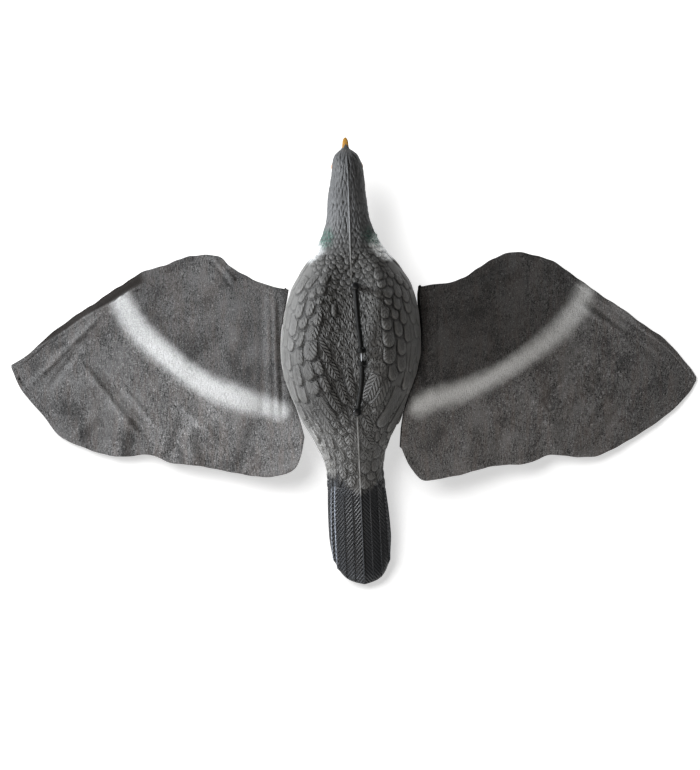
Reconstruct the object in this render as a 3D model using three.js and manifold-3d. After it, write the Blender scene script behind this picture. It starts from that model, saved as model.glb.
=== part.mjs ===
// A flying wood-pigeon decoy: a one-piece moulded body, two cloth wings on curved ribs, and a wire bail on
// the back. Millimetres. +X is the bird's right wing, +Y its beak, +Z up. It lies on its belly at z = 0.

import * as THREE from "three";
import { mergeVertices } from "three/addons/utils/BufferGeometryUtils.js";
import Module from "manifold-3d";

const wasm = await Module();
wasm.setup();

// Body
const bodyLength = 421; // beak tip to tail tip
const bodyWidth = 131; // across the widest line
const bodyHeight = 112; // belly to the ridge of the back
const bodyTurn = THREE.MathUtils.degToRad(2.53); // how far the body sits turned between its wings
const beakOffset = -7.1; // beak tip from the wings' middle plane
const backRoundness = 2.15; // power of the superellipse over the widest line, 2 being an ellipse
const bellyRoundness = 2.05;
const hollowDepth = 2.4; // the shallow hollow along the middle of the back
const hollowReach = 0.36; // how far it runs out, as a share of the half width
const seamHeight = 0.7; // the parting line raised along the ridge

// Carved feathers
const coverLift = 1.5; // how far the tip of a rounded feather stands out
const baseShare = 0.15; // what is left of that where the next feather comes out from under it
const coverScallop = 0.34; // depth of its rounded tip, as a share of the row's length
const coverFirst = 0.27; // where the rows start and end, as shares of the body's length
const coverLast = 0.765;
const coverPitch = 11; // length of a row at the widest part of the body
const slimmestPitch = 0.82; // share of that length left where the body is slim
const coverColumns = 6; // feathers from the ridge to the widest line
const columnsPerFeather = 4;
const coverDrop = 1.5; // length over which a tip drops to the next feather
const middleShare = 0.35; // lift of the small feathers along the middle of the back, as a share
const middleZone = [0.2, 0.42]; // where they give way to the big ones, as shares of the turn to the side
const coverFade = 6; // the feathers sink into the flank over the last sixth before the widest line
const browStations = [0.005, 0.012, 0.021, 0.027, 0.033, 0.041, 0.053, 0.07]; // rings of the beak and brow
const neckRings = 7; // rings from there to the first row of feathers
const tailStations = [0.795, 0.845, 0.9, 0.935, 0.955, 0.97, 0.982, 0.99, 0.996];
const tailShares = [0, 0.6, 1, 0.6]; // height across each long tail feather, column by column
const tailFade = 30; // how fast they sink into the tail's rounded end
const tailLift = 1.1; // height of the long tail feathers
const bellyColumns = 4; // columns of faces from the widest line to the keel

// Wings
const wingReach = 262; // from the front corner of the root to the tip
const wingChord = 183; // from there back to the rear corner of the root
const rootGap = 2.8; // between the cloth's root edge and the body's widest line
const leftRibOffset = 1.4; // how far outboard of the root edge each rib's middle lies
const rightRibOffset = -1.2;
const clothThickness = 1.2;
const ribThickness = 3.3;
const ribHeight = 9;
const ribDrop = 6; // how far the ribs' upper edge lies below the body's widest line
const ribClearance = 0.3; // between the cloth and what it lies over
const clothLedge = 10; // width of the level strip of cloth over the rib
const clothDroop = 1.55; // power of the curve by which the cloth comes down to its tip
const tipHeight = 0.2; // underside of the cloth at its tip
const pegRadius = 2.6;
const pegInsertion = 7; // length of a peg inside the flank
const pegClearance = 0.3;
const pegStations = [0.405, 0.537]; // shares of the body's length

// Bail
const wireRadius = 1.15;
const sleeveBore = 1.5;
const sleeveRadius = 1.9;
const stopRadius = 3.7;
const stopLength = 4.6;
const bareLength = 7.4; // bright wire that shows between the stops
const bailClearance = 0.3; // between the pieces along the wire
const bailRise = 0.9; // air between the stops and the back
const bailArch = 2.2; // how far the wire's middle stands over its ends
const postHeadRadius = 3.7;
const postHeadHeight = 6.4;
const postNeckRadius = 2.7;
const postInsertion = 6; // length of a post inside the back
const postClearance = 0.3;
const postStations = [0.334, 0.614]; // shares of the body's length
const postOffsets = [3.4, 0]; // from the ridge to the bird's right
const stopsOffset = 6.6; // from the ridge to the middle of the bare wire
const stopsStation = 0.4915;
const wireBows = [-0.3, 1.9]; // how far the wire bows to the right in front of and behind the stops
const wireSides = 8;
const wireSteps = 18;
const sleeveSides = 10;
const sleeveSteps = 6;
const roundSides = 12;

// A smooth curve through [place, value] pairs that never overshoots them (monotone cubic).
function profile(pairs) {
  const slopes = pairs.slice(1).map((p, i) => (p[1] - pairs[i][1]) / (p[0] - pairs[i][0]));
  const tangents = pairs.map((_, i) => {
    if (i === 0) return slopes[0];
    if (i === slopes.length) return slopes[i - 1];
    const [before, after] = [slopes[i - 1], slopes[i]];
    return before * after <= 0 ? 0 : (2 * before * after) / (before + after);
  });
  return (place) => {
    const last = pairs.length - 2;
    let i = pairs.findIndex((p, k) => k > last || place < pairs[k + 1][0]);
    i = Math.min(i, last);
    const width = pairs[i + 1][0] - pairs[i][0];
    const t = THREE.MathUtils.clamp((place - pairs[i][0]) / width, 0, 1);
    const [a, b] = [pairs[i][1], pairs[i + 1][1]];
    return (
      a * (1 + 2 * t) * (1 - t) ** 2 +
      b * t * t * (3 - 2 * t) +
      width * (tangents[i] * t * (1 - t) ** 2 - tangents[i + 1] * t * t * (1 - t))
    );
  };
}

// The body's form as shares of its length (first value), and of its width or height (second value).
const halfWidthAt = profile([
  [0, 0], [0.007, 0.0095], [0.02, 0.018], [0.026, 0.026], [0.032, 0.053], [0.04, 0.08], [0.053, 0.0975],
  [0.094, 0.1175], [0.139, 0.1355], [0.179, 0.149], [0.21, 0.181], [0.25, 0.2475], [0.296, 0.358],
  [0.34, 0.4365], [0.407, 0.487], [0.463, 0.5], [0.53, 0.4725], [0.577, 0.4185], [0.631, 0.3495],
  [0.675, 0.271], [0.721, 0.211], [0.743, 0.201], [0.833, 0.2165], [0.887, 0.2205], [0.927, 0.211],
  [0.953, 0.188], [0.967, 0.17], [0.981, 0.1375], [0.99, 0.1005], [0.996, 0.056], [1, 0],
]);
const leanAt = profile([
  [0, 0], [0.12, 0.006], [0.3, 0.001], [0.41, 0.014], [0.53, 0.038], [0.66, 0.045], [0.76, 0.032],
  [0.9, 0.02], [1, 0],
]);
const topAt = profile([
  [0, 0.55], [0.024, 0.575], [0.034, 0.632], [0.05, 0.685], [0.08, 0.72], [0.12, 0.712], [0.165, 0.695],
  [0.205, 0.707], [0.25, 0.76], [0.29, 0.82], [0.33, 0.878], [0.4, 0.958], [0.47, 1], [0.52, 0.985],
  [0.57, 0.93], [0.62, 0.845], [0.68, 0.69], [0.74, 0.5], [0.79, 0.4], [0.86, 0.315], [0.93, 0.225],
  [0.975, 0.155], [1, 0.09],
]);
const middleAt = profile([
  [0, 0.55], [0.06, 0.565], [0.2, 0.56], [0.27, 0.53], [0.34, 0.485], [0.46, 0.46], [0.56, 0.445],
  [0.64, 0.41], [0.7, 0.355], [0.76, 0.295], [0.83, 0.235], [0.92, 0.15], [1, 0.09],
]);
const bottomAt = profile([
  [0, 0.55], [0.024, 0.53], [0.036, 0.47], [0.06, 0.42], [0.1, 0.395], [0.15, 0.375], [0.19, 0.325],
  [0.23, 0.225], [0.27, 0.12], [0.31, 0.04], [0.36, -0.005], [0.42, -0.016], [0.5, -0.01],
  [0.57, 0.02], [0.64, 0.065], [0.71, 0.1], [0.78, 0.115], [0.86, 0.095], [0.94, 0.045], [1, 0.09],
]);
// How much of the hollow of the back is there along the body.
const hollowAt = profile([[0.25, 0], [0.36, 1], [0.56, 1], [0.68, 0]]);

// The point of the smooth body at a share of its length and a turn about it, in the body's own frame.
// turn is 0 at the ridge, 1 at the widest line and 2 at the keel; side is 1 to the right and -1 to the left.
function bodyPoint(along, turn, side) {
  const half = halfWidthAt(along) * bodyWidth;
  const lean = leanAt(along) * bodyWidth;
  const reach = half - side * lean;
  const keel = -2 * lean;
  const middle = middleAt(along) * bodyHeight;
  const upper = turn <= 1;
  const angle = (turn * Math.PI) / 2;
  const power = 2 / (upper ? backRoundness : bellyRoundness);
  const across = Math.abs(Math.sin(angle)) ** power;
  const rise = Math.abs(Math.cos(angle)) ** power;
  const x = upper ? side * reach * across : keel + (side * reach - keel) * across;
  let z = upper
    ? middle + (topAt(along) * bodyHeight - middle) * rise
    : middle - (middle - bottomAt(along) * bodyHeight) * rise;
  if (upper) z -= hollowDepth * hollowAt(along) * Math.exp(-((across / hollowReach) ** 2));
  return new THREE.Vector3(x, bodyLength * (0.5 - along), z);
}

// Height of the back over a point to the right of the ridge.
function backHeight(along, offset) {
  const reach = halfWidthAt(along) * bodyWidth - leanAt(along) * bodyWidth;
  const turn = (2 / Math.PI) * Math.asin((offset / reach) ** (backRoundness / 2));
  return bodyPoint(along, turn, 1).z;
}

// The body's frame, turned about the middle of its length and set where the wings' middle plane needs it.
const bodyFrame = new THREE.Matrix4()
  .makeRotationZ(bodyTurn)
  .setPosition(beakOffset + (bodyLength / 2) * Math.sin(bodyTurn), 0, 0);
const placed = (point) => point.clone().applyMatrix4(bodyFrame);

// Rows of scalloped edges, closer together where the body is slimmer.
function featherRows() {
  const rows = [];
  for (let along = coverFirst; along < coverLast; ) {
    rows.push(along);
    const slimness = THREE.MathUtils.clamp(2 * halfWidthAt(along), slimmestPitch, 1);
    along += (coverPitch / bodyLength) * slimness;
  }
  return rows;
}

// One ring of the body at a share of its length, with the carving's lift at each column. Every feather's
// tip is a scallop, and phase sets a row half a feather over from the one before.
const topColumns = coverColumns * columnsPerFeather;
function ring(along, lift, phase = 0, scallop = 0) {
  const points = [];
  const columns = topColumns + bellyColumns;
  for (let i = 0; i < 2 * columns; i++) {
    const side = i <= columns ? 1 : -1;
    const k = i <= columns ? i : 2 * columns - i;
    const turn = k <= topColumns ? k / topColumns : 1 + (k - topColumns) / bellyColumns;
    const fade = THREE.MathUtils.clamp((1 - turn) * coverFade, 0, 1);
    const fromMiddle = 2 * Math.abs(((k / columnsPerFeather + phase) % 1) - 0.5);
    const place = along - scallop * fromMiddle ** 2 * fade;
    const point = bodyPoint(place, turn, side);
    const height = lift(turn, k) * fade;
    if (k === 0) point.z += height + seamHeight;
    else if (height > 0) {
      const step = 1e-4;
      const ahead = bodyPoint(place - step, turn, side).sub(point);
      const outward = bodyPoint(place, turn + step, side).sub(point);
      point.addScaledVector(outward.cross(ahead).normalize(), side * height);
    }
    points.push(point);
  }
  return points;
}

function bodyRings() {
  const rings = [];
  const bare = () => 0;
  for (const along of browStations) rings.push(ring(along, bare));
  for (let i = 0; i < neckRings; i++) {
    const share = (i + 1) / (neckRings + 1);
    rings.push(ring(THREE.MathUtils.lerp(browStations.at(-1), coverFirst, share), bare));
  }
  // The small feathers along the middle of the back stand lower than the big ones of the sides.
  const cover = (turn) => {
    const side = THREE.MathUtils.smoothstep(turn, ...middleZone);
    return coverLift * THREE.MathUtils.lerp(middleShare, 1, side);
  };
  const base = (turn) => baseShare * cover(turn);
  const scallop = (coverPitch / bodyLength) * coverScallop;
  featherRows().forEach((along, row) => {
    const phase = row % 2 ? 0.5 : 0;
    rings.push(ring(along, cover, phase, scallop));
    rings.push(ring(along + coverDrop / bodyLength, base, phase, scallop));
  });
  for (const along of tailStations) {
    const left = Math.min(1, (1 - along) * tailFade) * tailLift;
    rings.push(ring(along, (turn, k) => left * tailShares[k % tailShares.length]));
  }
  return rings;
}

// The faces between neighbouring rings of equal counts, the first ring's points starting at a given place.
function ringFaces(ringCount, count, start) {
  const index = [];
  const at = (r, i) => start + r * count + (i % count);
  for (let r = 0; r + 1 < ringCount; r++) {
    for (let i = 0; i < count; i++) {
      index.push(at(r, i), at(r + 1, i), at(r + 1, i + 1));
      index.push(at(r, i), at(r + 1, i + 1), at(r, i + 1));
    }
  }
  return index;
}
function faceted(points, index) {
  const geometry = new THREE.BufferGeometry().setFromPoints(points);
  geometry.setIndex(index);
  return geometry;
}

// A closed skin over rings of equal counts, with a point at either end.
function skin(rings, first, last) {
  const count = rings[0].length;
  const index = ringFaces(rings.length, count, 1);
  const end = 1 + rings.length * count;
  for (let i = 0; i < count; i++) {
    const next = (i + 1) % count;
    index.push(0, 1 + i, 1 + next, end, end - count + next, end - count + i);
  }
  return faceted([first, ...rings.flat(), last], index);
}

// Geometry to a solid and back, for cuts and joins.
function solid(geometry) {
  const plain = geometry.clone();
  plain.deleteAttribute("normal");
  plain.deleteAttribute("uv");
  const merged = mergeVertices(plain, 1e-4);
  return new wasm.Manifold(
    new wasm.Mesh({
      numProp: 3,
      vertProperties: merged.attributes.position.array,
      triVerts: new Uint32Array(merged.index.array),
    }),
  );
}
function geometryOf(manifold) {
  const mesh = manifold.getMesh();
  const geometry = new THREE.BufferGeometry();
  geometry.setAttribute("position", new THREE.BufferAttribute(mesh.vertProperties, 3));
  geometry.setIndex(new THREE.BufferAttribute(mesh.triVerts, 1));
  geometry.computeVertexNormals();
  return geometry;
}

// A round bar between two points.
function bar(from, to, radius, sides) {
  const along = to.clone().sub(from);
  const geometry = new THREE.CylinderGeometry(radius, radius, along.length(), sides);
  const up = new THREE.Vector3(0, 1, 0);
  geometry.applyQuaternion(new THREE.Quaternion().setFromUnitVectors(up, along.normalize()));
  const middle = from.clone().add(to).multiplyScalar(0.5);
  return geometry.translate(middle.x, middle.y, middle.z);
}

// A round section carried along a curve, with a bore where one is asked for.
function tube(curve, steps, radius, bore, sides) {
  const circle = (r) =>
    Array.from({ length: sides }, (_, i) => {
      const angle = (2 * Math.PI * i) / sides;
      return new THREE.Vector2(r * Math.cos(angle), r * Math.sin(angle));
    });
  const section = new THREE.Shape(circle(radius));
  if (bore) section.holes.push(new THREE.Path(circle(bore)));
  return new THREE.ExtrudeGeometry(section, { steps, bevelEnabled: false, extrudePath: curve });
}

// Wing outlines in plan, out from and forward of the front corner of the root, as shares of the wings'
// reach and chord. lead runs from the corner to the tip, and trail from the tip back to the rear corner of
// the root. The root itself keeps its gap to the body's widest line, given at shares of the body's length
// as multiples of the usual gap.
const wingShapes = {
  left: {
    side: -1,
    ribOffset: leftRibOffset,
    root: [
      [0.334, 1.536], [0.36, 0.929], [0.43, 1], [0.5, 0.786], [0.56, 0.679], [0.6, 0.679],
      [0.63, 1.286], [0.665, 3.071],
    ],
    lead: [
      [0.065, 0.021], [0.137, 0.057], [0.208, 0.119], [0.244, 0.164], [0.298, 0.18], [0.352, 0.175],
      [0.424, 0.139], [0.532, 0.087], [0.64, -0.01], [0.748, -0.113], [0.856, -0.221], [0.927, -0.319],
      [1, -0.388],
    ],
    trail: [
      [1, -0.404], [0.964, -0.515], [0.892, -0.633], [0.82, -0.762], [0.748, -0.808], [0.604, -0.862],
      [0.496, -0.849], [0.424, -0.891], [0.281, -0.916], [0.115, -0.963], [0.029, -0.952],
      [-0.022, -0.921], [-0.043, -0.86],
    ],
  },
  right: {
    side: 1,
    ribOffset: rightRibOffset,
    root: [
      [0.339, 3.107], [0.362, 1.643], [0.39, 1], [0.432, 1.071], [0.504, 1.571], [0.544, 1],
      [0.574, 0.929], [0.603, 1], [0.642, 2.214], [0.694, 5.357],
    ],
    lead: [
      [0.104, 0.021], [0.158, 0.051], [0.212, 0.098], [0.266, 0.149], [0.32, 0.175], [0.392, 0.17],
      [0.464, 0.139], [0.536, 0.077], [0.608, 0], [0.679, -0.067], [0.823, -0.211], [0.895, -0.289],
      [0.967, -0.407], [0.994, -0.464],
    ],
    trail: [
      [0.994, -0.481], [0.967, -0.546], [0.895, -0.654], [0.787, -0.757], [0.644, -0.87],
      [0.572, -0.875], [0.464, -0.87], [0.392, -0.906], [0.284, -0.921], [0.104, -0.978],
      [0.011, -0.998], [-0.032, -0.937],
    ],
  },
};

function curveThrough(points) {
  return new THREE.CatmullRomCurve3(points, false, "centripetal");
}

function wingCurves({ side, root, lead, trail }) {
  const rootPoints = root.map(([along, gap]) => {
    const edge = placed(bodyPoint(along, 1, side));
    return new THREE.Vector3(edge.x + side * gap * rootGap, edge.y, 0);
  });
  const corner = rootPoints[0];
  const out = ([x, y]) => new THREE.Vector3(corner.x + side * x * wingReach, corner.y + y * wingChord, 0);
  return {
    root: curveThrough(rootPoints),
    lead: curveThrough([corner, ...lead.map(out)]),
    trail: curveThrough([...trail.map(out), rootPoints.at(-1)]),
    length: wingReach * Math.max(...lead.map(([x]) => x)),
  };
}

// The ribs hang below the body's widest line, where their pegs enter the flank.
const ribTop = middleAt((pegStations[0] + pegStations[1]) / 2) * bodyHeight - ribDrop;
const pegHeight = ribTop - ribHeight / 2;

// The cloth's underside lies level over the rib, then comes down to its tip by a power of the distance.
function clothHeight(share, length) {
  const ledge = clothLedge / length;
  const fallen = Math.max(0, share - ledge) / (1 - ledge);
  return tipHeight + (ribTop + ribClearance - tipHeight) * (1 - fallen) ** clothDroop;
}

// A panel filled in between its four edges (a Coons patch), one sheet of cloth thick.
const clothSteps = 17;
const clothRows = 6;
function cloth(shape) {
  const curves = wingCurves(shape);
  const at = (curve, t) => curve.getPoint(t);
  const rings = [];
  const ledge = clothLedge / curves.length;
  for (let u = 0; u <= clothSteps; u++) {
    const s = u === 0 ? 0 : THREE.MathUtils.lerp(ledge, 1, (u - 1) / (clothSteps - 1));
    const row = [];
    for (let v = 0; v <= clothRows; v++) {
      const t = v / clothRows;
      const fore = at(curves.lead, s);
      const aft = at(curves.trail, 1 - s);
      const inner = at(curves.root, t);
      const outer = at(curves.lead, 1).lerp(at(curves.trail, 0), t);
      const corners = at(curves.lead, 0)
        .lerp(at(curves.trail, 1), t)
        .multiplyScalar(1 - s)
        .addScaledVector(outer, s);
      const point = fore
        .lerp(aft, t)
        .add(inner.multiplyScalar(1 - s))
        .addScaledVector(outer, s)
        .sub(corners);
      point.z = clothHeight(s, curves.length);
      row.push(point);
    }
    const over = row.map((p) => p.clone().setZ(p.z + clothThickness));
    rings.push(shape.side > 0 ? [...row, ...over.reverse()] : [...over, ...row.reverse()]);
  }
  return closedStrip(rings);
}

// A closed skin over rings of equal counts, with its two end rings filled as strips across.
function closedStrip(rings) {
  const count = rings[0].length;
  const index = ringFaces(rings.length, count, 0);
  const last = (rings.length - 1) * count;
  for (let i = 0; i + 1 < count / 2; i++) {
    const j = count - 1 - i;
    index.push(i, i + 1, j - 1, i, j - 1, j);
    index.push(last + i, last + j - 1, last + i + 1, last + i, last + j, last + j - 1);
  }
  return faceted(rings.flat(), index);
}

// The rib: a flat strip bent to the cloth's root edge, with rounded ends and two pegs that point inboard.
const ribSteps = 12;
function pegEnds(shape, along) {
  const flank = placed(bodyPoint(along, 1, shape.side));
  const inside = flank.clone().setX(flank.x - shape.side * pegInsertion).setZ(pegHeight);
  return { flank, inside };
}
function rib(shape) {
  const { side, ribOffset } = shape;
  const { root } = wingCurves(shape);
  const half = ribThickness / 2;
  const line = [];
  for (let i = 0; i <= ribSteps; i++) {
    const t = i / ribSteps;
    const point = root.getPoint(t);
    const tangent = root.getTangent(t);
    const outward = new THREE.Vector2(-tangent.y, tangent.x).multiplyScalar(side);
    line.push({
      at: new THREE.Vector2(point.x, point.y).addScaledVector(outward, ribOffset),
      outward,
      tangent: new THREE.Vector2(tangent.x, tangent.y),
    });
  }
  const offset = (sign) => line.map(({ at, outward }) => at.clone().addScaledVector(outward, sign * half));
  const nose = (end, sign) => end.at.clone().addScaledVector(end.tangent, sign * half);
  const outline = [...offset(1), nose(line.at(-1), 1), ...offset(-1).reverse(), nose(line[0], -1)];
  const section = new THREE.Shape(outline);
  const strip = new THREE.ExtrudeGeometry(section, { depth: ribHeight, bevelEnabled: false });
  strip.translate(0, 0, ribTop - ribHeight);
  let joined = solid(strip);
  for (const along of pegStations) {
    const { inside } = pegEnds(shape, along);
    const away = (p) => Math.abs(p.at.y - inside.y);
    const nearest = line.reduce((best, p) => (away(p) < away(best) ? p : best));
    const outer = inside.clone().setX(nearest.at.x);
    joined = joined.add(solid(bar(inside, outer, pegRadius, roundSides)));
  }
  return geometryOf(joined);
}

// The bail's wire, bowed to the right between its posts and arched over the back.
const postPoints = postStations.map((along, i) =>
  placed(new THREE.Vector3(postOffsets[i], bodyLength * (0.5 - along), 0)),
);
const stopsPlan = placed(new THREE.Vector3(stopsOffset, bodyLength * (0.5 - stopsStation), 0));
const wireHeight = backHeight(stopsStation, stopsOffset) + seamHeight + bailRise + stopRadius;
const endHeight = wireHeight - bailArch;
const wireCurve = (() => {
  const [front, rear] = postPoints.map((p) => p.clone().setZ(endHeight));
  const middle = stopsPlan.clone().setZ(wireHeight);
  const between = (end, bow) => {
    const halfway = end.clone().add(middle).divideScalar(2);
    return halfway.add(new THREE.Vector3(bow, 0, bailArch / 4));
  };
  return curveThrough([front, between(front, wireBows[0]), middle, between(rear, wireBows[1]), rear]);
})();
const wireLength = wireCurve.getLength();
// The stretch of the wire's line between two lengths from its front end.
const stretch = (from, to) => {
  const spans = 8;
  const share = (i) => THREE.MathUtils.lerp(from, to, i / spans) / wireLength;
  return curveThrough(Array.from({ length: spans + 1 }, (_, i) => wireCurve.getPointAt(share(i))));
};
const halfSpans = 100;
const stopsAt = wireCurve.getLengths(2 * halfSpans)[halfSpans]; // the middle one of its five points
const frontStop = [stopsAt - bareLength / 2 - stopLength, stopsAt - bareLength / 2];
const rearStop = [stopsAt + bareLength / 2, stopsAt + bareLength / 2 + stopLength];

// A post: a round head that takes the wire's end in a cross hole, on a neck that plugs into the back.
function postGeometry(end) {
  const seat = backHeight(postStations[end], postOffsets[end]);
  const [half, chamfer] = [postHeadHeight / 2, postHeadRadius / 4];
  const points = [
    [0, seat - postInsertion],
    [postNeckRadius, seat - postInsertion],
    [postNeckRadius, endHeight - half - chamfer],
    [postHeadRadius, endHeight - half],
    [postHeadRadius, endHeight + half - chamfer],
    [postHeadRadius - chamfer, endHeight + half],
    [0, endHeight + half],
  ].map(([r, z]) => new THREE.Vector2(r, z));
  const lathe = new THREE.LatheGeometry(points, roundSides).rotateX(Math.PI / 2);
  lathe.translate(postPoints[end].x, postPoints[end].y, 0);
  const start = wireCurve.getPointAt(end);
  const inward = wireCurve.getTangentAt(end).multiplyScalar(end === 0 ? 1 : -1);
  const holeEnd = (reach) => start.clone().addScaledVector(inward, reach * postHeadRadius);
  const hole = bar(holeEnd(-0.5), holeEnd(2), sleeveBore, roundSides);
  return geometryOf(solid(lathe).subtract(solid(hole)));
}

function bodyGeometry() {
  const rings = bodyRings().map((points) => points.map(placed));
  const first = placed(bodyPoint(0, 0, 1));
  const last = placed(bodyPoint(1, 0, 1));
  // The small flat that it lies on is where its belly would dip below z = 0.
  const below = new THREE.BoxGeometry(2 * bodyWidth, 2 * bodyLength, bodyHeight);
  below.translate(0, 0, -bodyHeight / 2);
  let cut = solid(skin(rings, first, last)).subtract(solid(below));
  for (const shape of Object.values(wingShapes)) {
    for (const along of pegStations) {
      const { flank, inside } = pegEnds(shape, along);
      const from = inside.clone().setX(inside.x - shape.side * pegClearance);
      const to = inside.clone().setX(flank.x + shape.side * pegInsertion);
      cut = cut.subtract(solid(bar(from, to, pegRadius + pegClearance, roundSides)));
    }
  }
  postStations.forEach((along, i) => {
    const seat = backHeight(along, postOffsets[i]);
    const [bottom, top] = [seat - postInsertion - postClearance, seat + postInsertion];
    const socket = bar(
      postPoints[i].clone().setZ(bottom),
      postPoints[i].clone().setZ(top),
      postNeckRadius + postClearance,
      roundSides,
    );
    cut = cut.subtract(solid(socket));
  });
  return geometryOf(cut);
}

const paint = (color, roughness, metalness = 0) =>
  new THREE.MeshStandardMaterial({ color, roughness, metalness });
const bodyPaint = paint("#6f7170", 0.7);
const clothDye = paint("#5c5b5b", 0.95);
const blackPlastic = paint("#17181a", 0.35);
const steel = paint("#b9bcc0", 0.3, 1);

const root = new THREE.Group();
function piece(name, geometry, material) {
  const mesh = new THREE.Mesh(geometry, material);
  mesh.name = name;
  root.add(mesh);
}
piece("body", bodyGeometry(), bodyPaint);
for (const [hand, shape] of Object.entries(wingShapes)) {
  piece(`${hand}_wing_cloth`, cloth(shape), clothDye);
  piece(`${hand}_wing_rib`, rib(shape), blackPlastic);
}
piece("bail_wire", tube(wireCurve, wireSteps, wireRadius, 0, wireSides), steel);
const sleeveEnds = {
  front: [postHeadRadius + bailClearance, frontStop[0] - bailClearance],
  rear: [rearStop[1] + bailClearance, wireLength - postHeadRadius - bailClearance],
};
for (const [end, [from, to]] of Object.entries(sleeveEnds)) {
  const sleeve = tube(stretch(from, to), sleeveSteps, sleeveRadius, sleeveBore, sleeveSides);
  piece(`bail_${end}_sleeve`, sleeve, blackPlastic);
}
for (const [end, [from, to]] of Object.entries({ front: frontStop, rear: rearStop })) {
  piece(`bail_${end}_stop`, tube(stretch(from, to), 1, stopRadius, sleeveBore, roundSides), blackPlastic);
}
["front", "rear"].forEach((end, i) => piece(`bail_${end}_post`, postGeometry(i), blackPlastic));

// The origin is under the middle of the whole.
const box = new THREE.Box3().setFromObject(root, true);
const middle = box.getCenter(new THREE.Vector3());
root.position.set(-middle.x, -middle.y, -box.min.z);

export default root;
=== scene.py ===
import math

import bpy
import numpy as np
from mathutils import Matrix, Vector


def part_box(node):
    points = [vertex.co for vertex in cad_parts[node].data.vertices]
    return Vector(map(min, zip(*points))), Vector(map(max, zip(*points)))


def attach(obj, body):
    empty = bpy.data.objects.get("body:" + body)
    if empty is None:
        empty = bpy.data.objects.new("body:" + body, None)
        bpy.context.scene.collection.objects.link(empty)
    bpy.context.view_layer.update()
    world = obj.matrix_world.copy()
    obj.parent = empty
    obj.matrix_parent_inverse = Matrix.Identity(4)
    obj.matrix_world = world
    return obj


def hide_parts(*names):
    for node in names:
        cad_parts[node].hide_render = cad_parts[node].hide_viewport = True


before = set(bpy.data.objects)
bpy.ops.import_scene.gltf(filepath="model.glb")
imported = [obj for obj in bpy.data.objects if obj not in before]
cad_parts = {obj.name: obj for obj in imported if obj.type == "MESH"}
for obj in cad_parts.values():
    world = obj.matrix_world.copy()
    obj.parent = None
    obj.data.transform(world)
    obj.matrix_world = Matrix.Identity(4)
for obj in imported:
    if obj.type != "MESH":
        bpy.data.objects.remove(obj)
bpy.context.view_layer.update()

scene = bpy.context.scene

# Camera
# The photograph looks straight down on the table, so that a pixel is 0.942 mm everywhere. A long lens from
# far above keeps the higher back and the wing tips on the table at one scale. The photograph's middle is 3 mm
# left of the decoy's and 22 mm nearer the tail.
MM, pixel = 0.001, 0.942
photo_columns, photo_centre = 700, np.array([353.25, 361.25])
photo_middle = (-0.00306, -0.02237)
camera_height, level_in_focus, sensor_width = 12.0, 0.02, 36
camera_data = bpy.data.cameras.new("camera")
camera_data.sensor_fit = "HORIZONTAL"
camera_data.sensor_width = sensor_width
camera_data.lens = sensor_width * (camera_height - level_in_focus) / (photo_columns * pixel * MM)
camera_data.clip_end = 100
camera = bpy.data.objects.new("camera", camera_data)
camera.location = (*photo_middle, camera_height)
scene.collection.objects.link(camera)
scene.camera = camera

# Body
# The bird is one hollow body, blow-moulded in polyethylene with every feather cut in the mould, then sprayed
# in matt greys, white, green and blue-black. The fine raised line along its ridge is where the mould parts.
# Places along it are shares of its length from the beak, and other lengths are in mm.
body_length, body_width, body_height = 421.0, 131.0, 112.0
body_turn, beak_offset = math.radians(2.53), -7.1
back_power, belly_power, rump_power = 2 / 2.15, 2 / 2.05, 0.7
hollow_depth, hollow_reach = 4.4, 0.36
shoulder_rise, shoulder_at, shoulder_reach = 5.0, 0.5, 0.19
belly_clearance = 0.02


def profile(pairs):
    """A smooth curve through (place, value) pairs that never overshoots them: a cubic between each two, whose
    slope at a pair is the harmonic mean of the straight slopes on either side, or 0 at a turning point."""
    place, value = np.array(pairs, float).T
    slope = np.diff(value) / np.diff(place)
    same = slope[:-1] * slope[1:] > 0
    mean = np.where(same, 2 * slope[:-1] * slope[1:] / np.where(same, slope[:-1] + slope[1:], 1), 0)
    ends = np.concatenate([slope[:1], mean, slope[-1:]])

    def at(x):
        i = np.clip(np.searchsorted(place, x, side="right") - 1, 0, len(slope) - 1)
        width = place[i + 1] - place[i]
        t = np.clip((x - place[i]) / width, 0, 1)
        straight = value[i] * (1 + 2 * t) * (1 - t) ** 2 + value[i + 1] * t * t * (3 - 2 * t)
        return straight + width * (ends[i] * t * (1 - t) ** 2 - ends[i + 1] * t * t * (1 - t))

    return at


def hump(distance, reach):
    """A rounded hump of height 1 that falls away with distance: e to the power of -(distance / reach)²."""
    return np.exp(-((distance / reach) ** 2))


def smoothly(start, end, x):
    """Rises from 0 at start to 1 at end with level ends: 3t² - 2t³."""
    t = np.clip((x - start) / (end - start), 0, 1)
    return t * t * (3 - 2 * t)


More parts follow.
